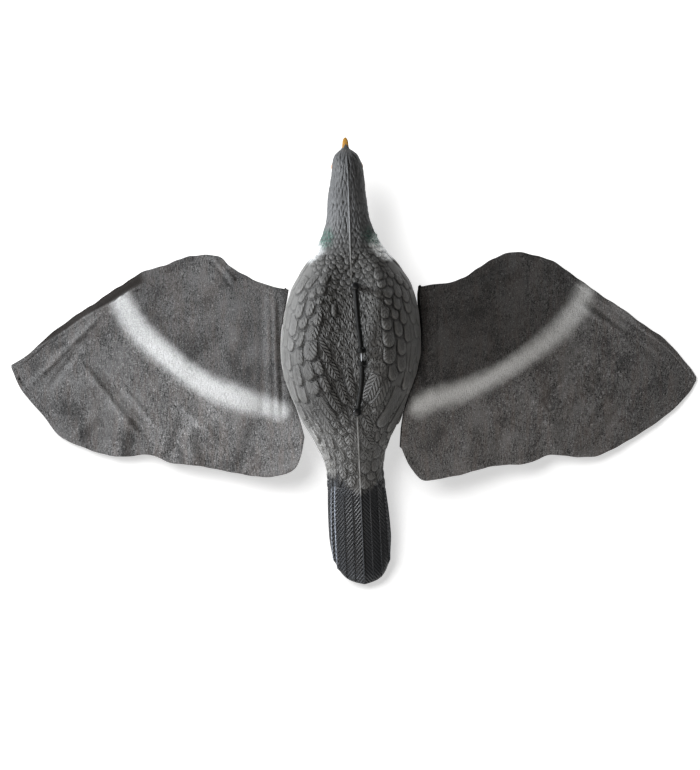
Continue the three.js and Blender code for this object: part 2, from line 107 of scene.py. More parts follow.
half_width_at = profile([
    (0, 0), (0.0035, 0.0135), (0.0103, 0.0205), (0.02, 0.0235), (0.0245, 0.0265), (0.032, 0.053),
    (0.04, 0.08), (0.053, 0.0985), (0.0725, 0.1115), (0.094, 0.1205), (0.139, 0.139), (0.179, 0.1525),
    (0.21, 0.181), (0.25, 0.2475), (0.296, 0.358), (0.34, 0.4365), (0.407, 0.487), (0.463, 0.5),
    (0.53, 0.4725), (0.577, 0.4185), (0.631, 0.3495), (0.675, 0.271), (0.721, 0.211), (0.743, 0.201),
    (0.833, 0.2165), (0.887, 0.2205), (0.927, 0.211), (0.953, 0.188), (0.967, 0.169), (0.981, 0.137),
    (0.99, 0.1), (0.996, 0.05), (1, 0),
])
lean_at = profile([
    (0, 0), (0.03, 0.001), (0.055, -0.003), (0.075, -0.0065), (0.1, -0.002), (0.13, 0.006), (0.2, 0.006),
    (0.3, 0.001), (0.41, 0.014), (0.53, 0.038), (0.66, 0.045), (0.76, 0.032), (0.9, 0.02), (1, 0),
])
top_at = profile([
    (0, 0.55), (0.024, 0.575), (0.034, 0.632), (0.05, 0.685), (0.08, 0.72), (0.12, 0.712), (0.165, 0.695),
    (0.205, 0.707), (0.25, 0.76), (0.29, 0.82), (0.33, 0.878), (0.4, 0.958), (0.47, 1), (0.52, 0.985),
    (0.57, 0.93), (0.62, 0.845), (0.68, 0.69), (0.74, 0.5), (0.79, 0.4), (0.86, 0.315), (0.93, 0.225),
    (0.975, 0.155), (1, 0.09),
])
middle_at = profile([
    (0, 0.55), (0.06, 0.565), (0.2, 0.56), (0.27, 0.53), (0.34, 0.485), (0.46, 0.46), (0.56, 0.445),
    (0.64, 0.41), (0.7, 0.355), (0.76, 0.295), (0.83, 0.235), (0.92, 0.15), (1, 0.09),
])
bottom_at = profile([
    (0, 0.55), (0.024, 0.53), (0.036, 0.47), (0.06, 0.42), (0.1, 0.395), (0.15, 0.375), (0.19, 0.325),
    (0.23, 0.225), (0.27, 0.12), (0.31, 0.04), (0.36, -0.005), (0.42, -0.016), (0.5, -0.01), (0.57, 0.02),
    (0.64, 0.065), (0.71, 0.1), (0.78, 0.115), (0.86, 0.095), (0.94, 0.045), (1, 0.09),
])
hollow_at = profile([(0.25, 0), (0.36, 1), (0.56, 1), (0.68, 0)])
rump_at = profile([(0.57, 0), (0.65, 1), (0.8, 1), (0.87, 0)])
ridge_sway = profile([
    (0, 0), (0.03, 0.4), (0.08, 1.1), (0.16, 0.9), (0.26, 0.4), (0.33, 0), (0.44, -1.3), (0.55, -0.6),
    (0.65, 0), (1, 0),
])


def body_point(along, turn, side):
    """The smooth body in mm: along is 0 at the beak and 1 at the tail, turn is 0 at the ridge, 1 at the
    widest line and 2 at the keel, and side is 1 on the right and -1 on the left. Each section is half a
    superellipse over the widest line and half one under it, leaning a little to the right. The back has a
    shallow hollow along it, between low shoulders, and is narrower over the rump."""
    along, turn, side = np.broadcast_arrays(*(np.asarray(v, float) for v in (along, turn, side)))
    lean = lean_at(along) * body_width
    reach = side * (half_width_at(along) * body_width - side * lean)
    middle = middle_at(along) * body_height
    sine, cosine = np.abs(np.sin(turn * math.pi / 2)), np.abs(np.cos(turn * math.pi / 2))
    across, rise = sine**back_power, cosine ** (back_power * (1 + rump_power * rump_at(along)))
    under_across, under_rise = sine**belly_power, cosine**belly_power
    hollow = hollow_depth * hump(across, hollow_reach)
    hollow -= shoulder_rise * hump(across - shoulder_at, shoulder_reach)
    upper = turn <= 1
    x_over = reach * across + ridge_sway(along) * cosine**2
    x_under = -2 * lean + (reach + 2 * lean) * under_across
    z_over = middle + (top_at(along) * body_height - middle) * rise - hollow * hollow_at(along)
    z_under = np.maximum(middle - (middle - bottom_at(along) * body_height) * under_rise, belly_clearance)
    x, z = np.where(upper, x_over, x_under), np.where(upper, z_over, z_under)
    return np.stack([x, body_length * (0.5 - along), z], -1)


# The grid: rings closest together where the feathers are fine, and columns closest at the ridge.
top_cells, belly_cells, ring_trials = 91, 11, 4000
ring_gap = profile([
    (0, 0.45), (0.05, 0.6), (0.08, 1.1), (0.23, 1.05), (0.28, 0.86), (0.78, 0.86), (0.83, 1.2),
    (0.955, 1.2), (0.985, 0.5), (1, 0.4),
])
fine = np.linspace(0, 1, ring_trials + 1)
rings_passed = np.cumsum(body_length / ring_trials / ring_gap(fine))
along = np.interp(np.arange(1, int(rings_passed[-1])), rings_passed, fine)
share = np.arange(top_cells + 1) / top_cells
over = share * (1 - 0.5 * hump(share, 0.05))
half_ring = np.concatenate([over, 1 + np.arange(1, belly_cells + 1) / belly_cells])
turn = np.concatenate([half_ring, half_ring[-2:0:-1]])
side = np.where(np.arange(len(turn)) < len(half_ring), 1.0, -1.0)
station, left, right, on_back = along[:, None], side < 0, side > 0, turn <= 1
surface = body_point(station, turn, side)
ring_way = np.gradient(surface, axis=0)
column_way = np.roll(surface, -1, 1) - np.roll(surface, 1, 1)
outward = np.cross(ring_way, column_way)
outward /= np.linalg.norm(outward, axis=-1, keepdims=True)
# How far each point is from the ridge, measured over the skin of its own side.
steps = np.linalg.norm(np.diff(surface[:, : len(half_ring)], axis=1), axis=-1)
arc_right = np.concatenate([np.zeros((len(along), 1)), np.cumsum(steps, 1)], 1)
steps = np.linalg.norm(np.roll(surface, -1, 1) - surface, axis=-1)[:, len(half_ring):][:, ::-1]
arc = np.concatenate([arc_right, np.cumsum(steps, 1)[:, ::-1]], 1)
beyond = station * body_length

relief = np.zeros(surface.shape[:2])
vane = np.zeros(surface.shape)  # phase of the barbs, their strength, and distance from the shaft in mm
# Its third value, the coat, is the coat's tone together with painted light and shade.
rim = np.zeros(surface.shape) + (9.0, 0.0, 0.0)  # mm inside the nearest outline, its sharpness, and the coat

# Tail: long feathers side by side, each standing a little over the one outside it, with a shaft at its
# inner edge and barbs that slant away from it. The two outermost shafts are the thickest.
shafts = np.array([0, 8.3, 16.6, 25.4, 29.4, 60])
tail_barb_gap, tail_barb_lean = 2.5, math.radians(40)
strip = np.clip(np.searchsorted(shafts, arc, side="right") - 1, 0, 4)
from_shaft = arc - shafts[strip]
to_outer_shaft = np.minimum(np.abs(arc - shafts[3]), np.abs(arc - shafts[4]))
shaft_height, shaft_reach = np.where(strip > 2, 1.3, 0.55), np.where(strip > 2, 1.0, 0.5)
in_tail = smoothly(0.765, 0.80, station) * on_back
tail_end = 0.25 + 0.75 * smoothly(1.0, 0.955, station)
tilt = 0.22 * (1 - from_shaft / 8.5) + shaft_height * hump(from_shaft, shaft_reach)
tilt += 1.3 * hump(to_outer_shaft, 1.0) * (from_shaft > 2)
relief += in_tail * tail_end * tilt * np.clip((1 - turn) * 9, 0, 1)
vane[..., 0] = (from_shaft * math.cos(tail_barb_lean) - beyond * math.sin(tail_barb_lean)) / tail_barb_gap
vane[..., 1] = np.where(left, 0.85, 0.5) * in_tail * smoothly(0.2, 1.0, from_shaft)
vane[..., 1] *= 1 - 0.25 * hump(to_outer_shaft, 1.6)
vane[..., 2] = from_shaft

upper_columns = np.flatnonzero(turn < 1.04)


def lay(tip_along, tip_turn, hand, heading, length, half, lift, point=1.0, barbs=0.0, comb=2.7, lean=35):
    """Lays one feather over what is there. Its outline is a strip of that half width, ending in half an
    ellipse that is point times as deep. It rises from its root to its tip and is rounded down to its edges,
    with a fine groove round it. heading turns its tip away from the ridge and lean its barbs off its shaft,
    in degrees. comb is how far apart the barbs are in mm, and barbs how strong they are."""
    step = 1e-3
    stations = tip_along + step * np.array([0, -1, 1, 0, 0])
    turns = tip_turn + step * np.array([0, 0, 0, -1, 1])
    near = body_point(stations, np.abs(turns), hand)
    spot, tailward, away = near[0], near[2] - near[1], near[4] - near[3]
    tailward /= np.linalg.norm(tailward)
    away -= tailward * (away @ tailward)
    away /= np.linalg.norm(away)
    c, s = math.cos(math.radians(heading)), math.sin(math.radians(heading))
    shaft_way, cross_way = c * tailward + s * away, c * away - s * tailward
    reach = np.array([-length - 4, half + 4]) / body_length
    window = slice(*np.searchsorted(along, tip_along + reach))
    block = np.ix_(np.arange(len(along))[window], upper_columns)
    gap = surface[block] - spot
    u, v = np.abs(gap @ cross_way), gap @ shaft_way
    depth = half * point
    inside = 1 - (u / half) ** 2 - (np.maximum(v + depth, 0) / depth) ** 2
    edge = inside * half / 2
    here = (np.abs(gap @ np.cross(shaft_way, cross_way)) < half + 8) * smoothly(-length, -length + 2, v)
    cover = smoothly(-0.4, 0.4, edge) * here
    climb = 0.22 + 0.78 * smoothly(-length, -0.15 * length, v)
    body = lift * climb * (1 - 0.3 * (1 - np.clip(inside, 0, 1)) ** 2)
    groove = 0.4 * lift * hump(edge + 0.5, 0.5) * here
    relief[block] = (relief[block] - groove) * (1 - cover) + body * cover
    phase = (u * math.cos(math.radians(lean)) - v * math.sin(math.radians(lean))) / comb
    covered, outlined = cover > 0.5, (edge > -2.0) & (here > 0.5)
    for k, value in enumerate((phase, barbs * np.clip(edge / 0.8, 0, 1), u)):
        vane[..., k][block] = np.where(covered, value, vane[..., k][block])
    for k, value in enumerate((edge, min(lift / 2, 1))):
        rim[..., k][block] = np.where(outlined, value, rim[..., k][block])


def arc_to_turn(place, distance):
    """The turn that lies at a distance in mm from the ridge, at one place along the body."""
    ring = np.searchsorted(along, place)
    return float(np.interp(distance, arc[min(ring, len(along) - 1), : len(over)], over))


rng = np.random.default_rng(11)
feathers = []


def tract(start, end, from_arc, to_arc, spacing, pitch, size, heading=(0, 0), jitter=1.0, **shape):
    """Rows of feathers over a patch of the back, each row half a feather over from the last. Arcs are
    distances in mm from the ridge. size is (length, half width, lift), and heading is given for the inner and
    for the outer ones."""
    place, row = start, 0
    while place < end:
        distance = from_arc + spacing * (0.5 if row % 2 else 0.0)
        while distance < to_arc:
            for hand in (-1, 1):
                at = distance + rng.normal(0, 0.1) * spacing * jitter
                where = place + rng.normal(0, 0.12) * pitch * jitter / body_length
                out = (distance - from_arc) / max(to_arc - from_arc, 1)
                way = heading[0] + (heading[1] - heading[0]) * out + rng.normal(0, 5) * jitter
                scale = 1 + rng.normal(0, 0.08) * jitter
                length, half, lift = size
                feathers.append(
                    (0, where, arc_to_turn(where, abs(at)), hand, way, length * scale, half * scale,
                     lift * (1 + rng.normal(0, 0.12) * jitter), shape)
                )
            distance += spacing
        place += pitch / body_length
        row += 1


# Head and neck: fine lengthwise ridges that widen into small scales.
tract(0.05, 0.15, 0.6, 24, 2.3, 7.0, (15.0, 1.25, 0.33), jitter=1.3, point=4.5)
tract(0.15, 0.215, 0.8, 34, 2.8, 6.0, (12.0, 1.55, 0.44), heading=(0, 8), jitter=1.3, point=3.5)
tract(0.215, 0.262, 1.0, 48, 3.4, 4.6, (8.5, 2.0, 0.55), heading=(0, 14), jitter=1.2, point=2.2)
# Upper back: small rounded feathers with deep pits between them.
tract(0.262, 0.365, 2.2, 40, 6.2, 4.7, (9.5, 3.5, 0.95), heading=(-4, 12), jitter=1.6, point=1.2, barbs=0.25)
# Middle of the back: hair-like pointed feathers that lean towards the ridge.
tract(0.345, 0.63, 1.5, 31, 6.0, 6.2, (15.0, 3.9, 0.5), heading=(-4, -20), jitter=1.6, point=2.8, barbs=1.0,
      comb=2.8, lean=20)
# Sides and lower back: big rounded shingles, read off the photograph, left ones first. Each is the pixel of
# its tip and of its root, half its width in pixels, its lift in mm and the strength of its barbs.
shingles = [
    (298, 295, 304, 275, 6, 1, 0.1), (308.5, 290.5, 314, 273, 4.8, 1.2, 0.2),
    (300.5, 319.5, 300, 296, 5.8, 1.4, 0.2), (301.5, 304, 306, 288, 4, 1, 0.1),
    (313.5, 300, 314, 286, 4.6, 1.1, 0.2), (311, 317.5, 311, 299, 5.3, 1.5, 0.5),
    (305, 330.5, 305, 311, 6.2, 1.6, 0.5), (318.5, 326.5, 318, 312, 4.6, 1.2, 0.6),
    (320, 306, 320, 297, 3.5, 1, 0.5), (321, 296, 322, 284, 4.4, 1.1, 0.4),
    (323, 285.5, 325, 272, 4.3, 1.1, 0.3), (294.5, 337, 292, 312, 6.5, 0.9, 0),
    (297.5, 341.5, 296, 325, 4.5, 0.9, 0.1), (301.5, 348, 302, 329, 5.6, 1.5, 0.4),
    (293, 352, 290, 330, 6, 0.9, 0), (304, 365.5, 300, 347, 5.2, 1.4, 0.8),
    (313.5, 361, 311, 340, 8.4, 2, 0.7), (313, 379.8, 311, 359, 8.7, 2.2, 0.7),
    (318.5, 394, 314, 376, 9.2, 2.1, 0.8), (313.5, 342, 315, 321, 6.2, 1.4, 1),
    (303.5, 385.5, 297, 364, 6.8, 1.2, 0.7), (308, 402.5, 302, 382, 7, 1.2, 0.15),
    (300, 402, 293, 378, 5, 0.8, 0), (292, 371, 288, 350, 5, 0.8, 0), (308, 419, 302, 402, 4.5, 0.9, 0.8),
    (315, 425, 309, 405, 4.5, 1, 0.9), (331, 362, 319, 340, 6, 1.1, 1), (339, 379, 329, 358, 5.5, 1, 1),
    (323, 375, 316, 355, 4.5, 0.9, 0.6), (330, 392, 325, 374, 4.5, 0.9, 0.6),
    (335, 317.5, 334, 303, 3, 1, 0.3), (382, 289, 383, 277, 4.4, 1, 0), (388.5, 299, 389, 284, 5.5, 1.3, 0),
    (378, 298, 379, 285, 4.4, 1, 0), (391, 287.5, 391, 277, 3.8, 0.9, 0), (399, 298.5, 398, 283, 5, 1.2, 0),
    (388.8, 306, 389, 295, 4.4, 1.2, 0), (397.7, 310.5, 397, 294, 5, 1.3, 0),
    (395, 320, 395, 307, 4.8, 1.3, 0), (407, 303, 404, 285, 4.5, 1, 0), (409, 313.5, 406, 297, 4.6, 1, 0),
    (403.5, 324.5, 403, 309, 4.9, 1.2, 0), (387.3, 330.8, 387, 316, 5.2, 1.3, 0.4),
    (398.7, 337, 398.5, 320, 5.5, 1.4, 0), (389, 347.5, 389, 327, 6.4, 1.5, 0.5),
    (407.5, 342, 406.5, 324, 4.8, 1, 0), (401, 355.3, 401, 338, 6.3, 1.4, 0.1),
    (388.8, 364, 390, 345, 7.2, 1.6, 0.7), (400.5, 371.7, 400.5, 353, 7.1, 1.5, 0.2),
    (392, 380.5, 392.5, 362, 6.8, 1.5, 0.4), (403.5, 389.5, 403.5, 370, 6.2, 1.3, 0.2),
    (410, 372, 411, 345, 4.5, 0.7, 0), (385, 319, 386, 306, 4.5, 1, 0.8), (379, 281, 381, 270, 4.4, 1, 0.2),
    (393, 279, 391, 268, 4, 0.9, 0), (402, 285, 398, 272, 4, 0.9, 0), (408, 290, 403, 277, 3.8, 0.8, 0),
    (366, 401, 377, 371, 7, 1.2, 1), (372, 406, 384, 374, 7.5, 1.4, 1),
    (379, 426.5, 398, 384, 8, 1.7, 0.15), (387, 431, 406, 392, 6.5, 1.3, 0.1),
    (397, 424, 410, 396, 5, 1, 0), (354, 396, 348, 366, 4.4, 1, 1), (348, 404, 340, 376, 4.6, 1.1, 1),
    (341, 411, 330, 383, 5, 1.1, 1), (336.5, 420, 321.5, 392, 5.2, 1.2, 1),
    (335, 433.5, 323, 404, 6, 1.3, 1), (338.5, 428, 336.5, 404, 5, 1.1, 1),
    (347, 426, 344, 402, 4.8, 1.1, 1), (323, 431, 309, 410, 5.2, 1.2, 1), (312, 425, 300, 405, 4.6, 1, 1),
    (321, 441.5, 313, 424, 5.5, 1.2, 0.8), (352.5, 432.6, 350, 418, 5.2, 1, 1),
    (345, 435, 342, 421, 4.4, 0.9, 1), (351, 445, 350, 430, 4.8, 1, 1), (344, 447, 343, 432, 4.6, 1, 1),
    (334.5, 448, 333, 435, 3.8, 0.9, 0.8), (327, 447, 325, 434, 4.5, 0.8, 0.8),
    (352, 459, 352.5, 445, 4.3, 1.1, 1), (343.9, 461.7, 342, 446, 4.2, 1.1, 1),
    (330.5, 459, 330, 446, 4, 0.8, 0.7), (335.2, 468, 335.5, 452, 4.2, 1, 1),
    (353.6, 473, 353, 459, 4.2, 1.1, 1), (345, 479, 342, 461, 4.3, 1, 1), (332, 480, 332, 464, 4, 0.9, 1),
    (352.5, 487, 352, 471, 4.6, 1, 1), (371, 430, 361.5, 414, 5.2, 1, 1), (372, 447, 363, 432, 6, 1, 1),
    (364, 459, 365, 445, 4.6, 1, 0.9), (366.3, 473, 366, 458, 5.2, 1, 0.15),
    (365.3, 489, 366, 473, 5.2, 1.1, 0.1), (376, 458, 377, 444, 5.6, 0.9, 0),
    (375.5, 471, 376, 457, 5, 0.8, 0), (371.5, 480, 373, 467, 4.6, 0.8, 0),
    (387, 438, 396, 418, 6, 1.1, 0.1), (380, 445, 386, 429, 6, 1, 0), (380, 481, 381, 467, 4, 0.6, 0),
    (383, 462, 385, 447, 4.5, 0.8, 0),
]
body_cosine, body_sine = math.cos(body_turn), math.sin(body_turn)
body_shift = beak_offset + body_length / 2 * body_sine
for *ends, half, lift, barbs in shingles:
    ends = (np.reshape(ends, (2, 2)) - photo_centre) * (pixel, -pixel) - (body_shift, 0)
    (tip_x, tip_y), (root_x, root_y) = ends @ np.array([[body_cosine, -body_sine], [body_sine, body_cosine]])
    hand, where = (1 if tip_x > 0 else -1), 0.5 - tip_y / body_length
    ring = body_point(where, over, hand)
    tip_turn = float(np.interp(abs(tip_x), np.maximum.accumulate(np.abs(ring[:, 0])), over))
    heading = math.degrees(math.atan2(abs(tip_x) - abs(root_x), root_y - tip_y))
    length, hairy = math.hypot(tip_x - root_x, tip_y - root_y), barbs > 0.85
    lift *= 1.05 if hairy else 1.7 if hand < 0 else 1.25
    shape = dict(point=1.7 if hairy else 1.15, barbs=max(1.2 * barbs, 0.35))
    feathers.append((1, where, tip_turn, hand, heading, length, half * pixel, lift, shape))
# Low on the flanks: large flat feathers. Rump and lower back: more feathers, for the gaps in the list.
tract(0.30, 0.62, 64, 100, 13, 17, (24.0, 6.5, 0.7), jitter=0.8, point=1.6)
tract(0.60, 0.79, 3.5, 44, 8.8, 8.5, (18.0, 4.3, 0.8), heading=(2, -8), jitter=0.7, point=1.6, barbs=0.8)
# The shingles in the list go over the rest, and of each kind the ones further forward over those behind.
mould_depth = 1.3
for _, *placing, lift, shape in sorted(feathers, key=lambda feather: (feather[0], -feather[1])):
    lay(*placing, mould_depth * lift, **shape)
# The plumage ends at the widest line, under which the body is smooth.
relief *= np.clip((1.0 - turn) * 9 + 0.15, 0, 1)


def away_from(place, where, hand):
    """How far each point of the grid is from one spot of the smooth body, in mm."""
    return np.linalg.norm(surface - body_point(place, where, hand), axis=-1)


# The eyes: low domes on the sides of the head, with a painted iris and pupil.
eye_spot, eye_radius, eye_height = (0.0638, 1.03), 3.3, 0.8
eye_iris, eye_pupil = np.zeros_like(relief), np.zeros_like(relief)
for hand in (-1, 1):
    away = away_from(*eye_spot, hand)
    relief *= smoothly(3.2, 4.4, away)
    relief += eye_height * np.sqrt(np.clip(1 - (away / eye_radius) ** 2, 0, 1))
    eye_iris += smoothly(3.1, 2.8, away)
    eye_pupil += smoothly(1.6, 1.35, away)
# The right side is a little fuller by the middle of its rib.
relief += 1.1 * hump(station - 0.494, 0.032) * hump(turn - 0.97, 0.1) * right
# Small flaws of the moulding: a nub on each side of the neck, a pit in the nape and two pits in the back.
for hand, place, where, size in [(-1, 0.256, 0.86, 1.3), (1, 0.222, 0.88, 1.6)]:
    relief += 0.9 * hump(away_from(place, where, hand), size)
relief -= 1.3 * hump(away_from(61.2 / body_length, 0.14, -1), 1.5)
for pit_x, pit_beyond in [(-8.5, 245.0), (-4.3, 249.2)]:
    relief -= 1.8 * hump(np.hypot(surface[..., 0] - pit_x, beyond - pit_beyond), 1.3) * on_back
# The parting line stands up from a narrow smooth strip, and fades under the bail.
under_bail = smoothly(0.3, 0.35, station) * smoothly(0.63, 0.6, station)
parting = hump(arc, 0.6) * on_back * smoothly(0.02, 0.06, station) * (1 - 0.8 * under_bail)
cleared = hump(arc, 1.1) * on_back * smoothly(0.1, 0.2, station) * smoothly(0.86, 0.8, station)
cleared = cleared * (1 - under_bail)
relief = relief * (1 - cleared) + 0.6 * (cleared + parting)
vane[..., 1] *= 1 - cleared
rim[..., 1] *= 1 - cleared

# Paint, as masks: blue-black tail, white neck patches, green sheen over them, blue-grey head, and the beak.
wobble = np.sin(surface[..., 0] * 0.9 + 1.3) + np.sin(surface[..., 0] * 0.37) + 0.6 * np.sin(beyond * 0.8)
paint_edge = 0.797 - 0.042 * smoothly(5, 24, arc) + 0.012 * np.clip(relief - 1, -0.6, 1) - 0.003 * wobble
tail_paint = smoothly(-0.008, 0.010, station - paint_edge)
white_paint, green_paint = np.zeros_like(relief), np.zeros_like(relief)
neck_patches = [(-1, (0.253, 0.78), 16, 4, (0.226, 0.62)), (1, (0.250, 0.75), 18, 12, (0.224, 0.62))]
for hand, white_spot, white_end, white_core, green_spot in neck_patches:
    white_paint += smoothly(white_end, white_core, away_from(*white_spot, hand) + 0.5 * wobble)
    green_paint += smoothly(14, 4, away_from(*green_spot, hand) + 0.8 * wobble)
head_paint = smoothly(0.29, 0.17, station) * np.ones_like(relief)
beak_line = 0.0235 - 0.009 * np.clip(1 - arc / 2.6, 0, 1)
beak_paint = smoothly(beak_line + 0.0012, beak_line - 0.0012, station)


def blurred(field, cells):
    """The mean over a square of cells either way."""
    for axis in (0, 1):
        total = sum(np.roll(field, k, axis) for k in range(-cells, cells + 1))
        field = total / (2 * cells + 1)
    return field


# How far a spot stands above or below what is round it, 0.5 being level: it paints shade into the grooves
# and light onto what stands up.
painted_shade_height = np.clip(0.5 + 0.55 * (relief - blurred(relief, 3)) + 0.35 * (relief - blurred(relief, 1)), 0, 1)


def placed(points):
    """Points of the body, turned about the middle of its length to where it sits between the wings."""
    x, y, z = np.moveaxis(points, -1, 0)
    return np.stack([x * body_cosine - y * body_sine + body_shift, x * body_sine + y * body_cosine, z], -1)


def under_body(offset, place):
    """The spot in plan under a place along the body, offset mm to the right of its middle line."""
    return placed(np.array([offset, body_length * (0.5 - place), 0.0]))


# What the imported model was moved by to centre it, read from where its front post went.
post_spots = [(3.4, 0.334), (0.0, 0.614)]
low, high = np.array(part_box("bail_front_post")) / MM
centring = ((low + high) / 2 - under_body(*post_spots[0])) * (1, 1, 0)


def make_piece(name, points, quads, fans=()):
    """A new object from points in mm, four-sided faces and, where they are given, three-sided ones."""
    mesh = bpy.data.meshes.new(name)
    faces = np.reshape(quads, (-1, 4)).tolist() + np.reshape(fans, (-1, 3)).astype(int).tolist()
    mesh.from_pydata((np.reshape(points, (-1, 3)) * MM).tolist(), [], faces)
    mesh.shade_smooth()
    made = bpy.data.objects.new(name, mesh)
    scene.collection.objects.link(made)
    return made


def rings_to_piece(name, rings, first, last):
    """A closed skin over rings of points, each ring joined to the next, with a point at either end."""
    count, around = rings.shape[:2]
    at = np.arange(count * around).reshape(count, around)
    beside = np.roll(at, -1, 1)
    quads = np.stack([at[:-1], at[1:], beside[1:], beside[:-1]], -1)
    ends = count * around
    fans = np.concatenate([
        np.stack([np.full(around, ends), at[0], beside[0]], -1),
        np.stack([np.full(around, ends + 1), beside[-1], at[-1]], -1),
    ])
    return make_piece(name, np.concatenate([rings.reshape(-1, 3), [first, last]]), quads, fans)


shaped = placed(surface + outward * relief[..., None]) + centring
beak_tip, tail_tip = placed(body_point([0, 1], 0, 1)) + centring
body = rings_to_piece("moulded_body", shaped, beak_tip, tail_tip)


def write_attribute(piece, name, kind, values):
    """Stores one value a vertex. The two end points of a piece made of rings get the first and last value."""
    flat = values.reshape(-1, values.shape[-1])
    if len(flat) < len(piece.data.vertices):
        flat = np.concatenate([flat, flat[[0, -1]]])
    layer = piece.data.attributes.new(name, kind, "POINT")
    layer.data.foreach_set("vector" if kind == "FLOAT_VECTOR" else "color", flat.astype(np.float32).ravel())


# The coat's tone, by which its colour is multiplied: darkest along the back, lighter down the flanks and
# darker again over the head and neck. Painted light and shade are in it too: the left side, the right
# slope beside the ridge, the rump (most on the left) and the right white patch are painted lighter, and
# the head and neck darker on the right and lighter on the left.
forward, white = smoothly(0.66, 0.6, station), np.clip(white_paint, 0, 1)
back_coat_with_painted_light = 0.51 + 0.42 * smoothly(0.42, 0.78, turn)
back_coat_with_painted_light = back_coat_with_painted_light + 0.5 * smoothly(0.78, 0.97, turn) * smoothly(0.66, 0.56, station)
# Painted light: the right slope beside the ridge, ahead of the rump, is lighter.
back_coat_with_painted_light += 0.2 * right * smoothly(0.03, 0.1, turn) * forward
# Painted light: the rump is lighter, the left side more so.
back_coat_with_painted_light *= 1 + np.where(right, 0.45, 1.0) * smoothly(0.6, 0.67, station)
# Painted light: the left side is lighter.
back_coat_with_painted_light *= 1 + (0.13 * smoothly(0.4, 0.6, turn) + 0.1 * smoothly(0.7, 0.9, turn)) * left
coat_with_painted_light = 1 + (back_coat_with_painted_light - 1) * smoothly(0.2, 0.32, station) * (1 - tail_paint)
coat_with_painted_light *= 1 - 0.3 * smoothly(0.29, 0.25, station) * (1 - beak_paint) * (1 - white)
coat_with_painted_light *= 1 - 0.22 * smoothly(0.16, 0.11, station) * (1 - beak_paint)
# Painted light and shade: the head and neck lighter on the left and darker on the right.
coat_with_painted_light *= 1 + np.where(right, -0.08, 0.05) * smoothly(0.26, 0.22, station) * (1 - beak_paint)
# Painted light: the right white patch, which lies in shade, is lighter.
coat_with_painted_light *= 1 + 0.6 * white * right
# It is lighter along the parting line and on the tail's shafts; behind the bail a dark line of painted shade
# lies on the right of the parting line.
coat_with_painted_light *= 1 + parting * smoothly(0.05, 0.15, station)
coat_with_painted_light *= 1 - 0.5 * right * hump(arc - 1.5, 0.6) * (1 - forward)
coat_with_painted_light *= 1 + 1.2 * in_tail * hump(from_shaft, 0.5) * (strip > 0)
# Painted glints: beaded light lines along the tail's outer shafts, far stronger on the left, which faces the
# key lamp.
painted_glints = hump(arc - shafts[3], 0.9) + 0.9 * hump(arc - shafts[4], 0.5)
painted_glints *= (0.7 + 0.3 * np.sin(beyond * 2 * math.pi / 4.1 + arc)) * on_back
painted_glints *= smoothly(0.76, 0.79, station) * smoothly(0.965, 0.93, station)
rim[..., 2] = coat_with_painted_light * (1 + np.where(left, 19.0, 3.0) * painted_glints)
write_attribute(body, "vane", "FLOAT_VECTOR", vane)
write_attribute(body, "rim", "FLOAT_VECTOR", rim)
paints = np.stack([tail_paint, white_paint, green_paint, head_paint], -1)
details = np.stack([beak_paint, eye_iris, eye_pupil, painted_shade_height], -1)
write_attribute(body, "paint", "FLOAT_COLOR", paints)
write_attribute(body, "detail", "FLOAT_COLOR", details)


def colour(code):
    """An sRGB hex value as linear red, green, blue and 1."""
    parts = [int(code[i : i + 2], 16) / 255 for i in (1, 3, 5)]
    return [c / 12.92 if c <= 0.04045 else ((c + 0.055) / 1.055) ** 2.4 for c in parts] + [1.0]


def plug(tree, made, sockets):
    """Sets a node's inputs to values, or links them to outputs: of a whole node, to its first one in use."""
    for socket, value in sockets.items():
        if isinstance(value, bpy.types.Node):
            value = next(output for output in value.outputs if output.enabled)
        if isinstance(value, bpy.types.NodeSocket):
            tree.links.new(value, made.inputs[socket])
        else:
            made.inputs[socket].default_value = value


def node(tree, kind, sockets=(), **settings):
    """Adds a shader node: settings are its properties, and sockets maps its inputs to what goes in."""
    made = tree.nodes.new(f"ShaderNode{kind}")
    for name, value in settings.items():
        setattr(made, name, value)
    plug(tree, made, dict(sockets))
    return made


def new_material(name):
    """An empty material with a Principled shader, ready for its sockets."""
    material = bpy.data.materials.new(name)
    material.use_nodes = True
    return material, material.node_tree, material.node_tree.nodes["Principled BSDF"]


# Matt spray paint on blow-moulded polyethylene: soft dull greys with a faint mottle, painted shade in the
# grooves and painted light on what stands up, and a glossier blue-black coat on the tail that glints on
# every ridge.
sprayed_paint, tree, shader = new_material("sprayed_paint_on_polyethylene")
# Sockets 1 to 4 of a MapRange node are the range it reads and the range it gives, each 0 to 1 unless set.
place = node(tree, "TexCoord").outputs["Object"]
paint = node(tree, "Attribute", attribute_name="paint")
detail = node(tree, "Attribute", attribute_name="detail")
paint_parts, detail_parts = (node(tree, "SeparateColor", {0: masks}).outputs for masks in (paint, detail))
vane_parts, rim_parts = (
    node(tree, "SeparateXYZ", {0: node(tree, "Attribute", attribute_name=name).outputs["Vector"]}).outputs
    for name in ("vane", "rim")
)
mottle = node(tree, "TexNoise", {"Vector": place, "Scale": 1 / (9 * MM), "Detail": 5.0, "Roughness": 0.6})
speck = node(tree, "TexNoise", {"Vector": place, "Scale": 1 / (1.6 * MM), "Detail": 2.0, "Roughness": 0.5})
patches = node(tree, "MapRange", {0: mottle, 1: 0.35, 2: 0.65})
green_specks = node(tree, "MapRange", {0: speck, 1: 0.38, 2: 0.6, 3: 0.25})
green_coat = node(tree, "Math", {0: paint_parts["Blue"], 1: green_specks}, operation="MULTIPLY")
white_specks = node(tree, "MapRange", {0: speck, 1: 0.25, 2: 0.5, 3: 0.75})
white_coat = node(tree, "Math", {0: paint_parts["Green"], 1: white_specks}, operation="MULTIPLY")
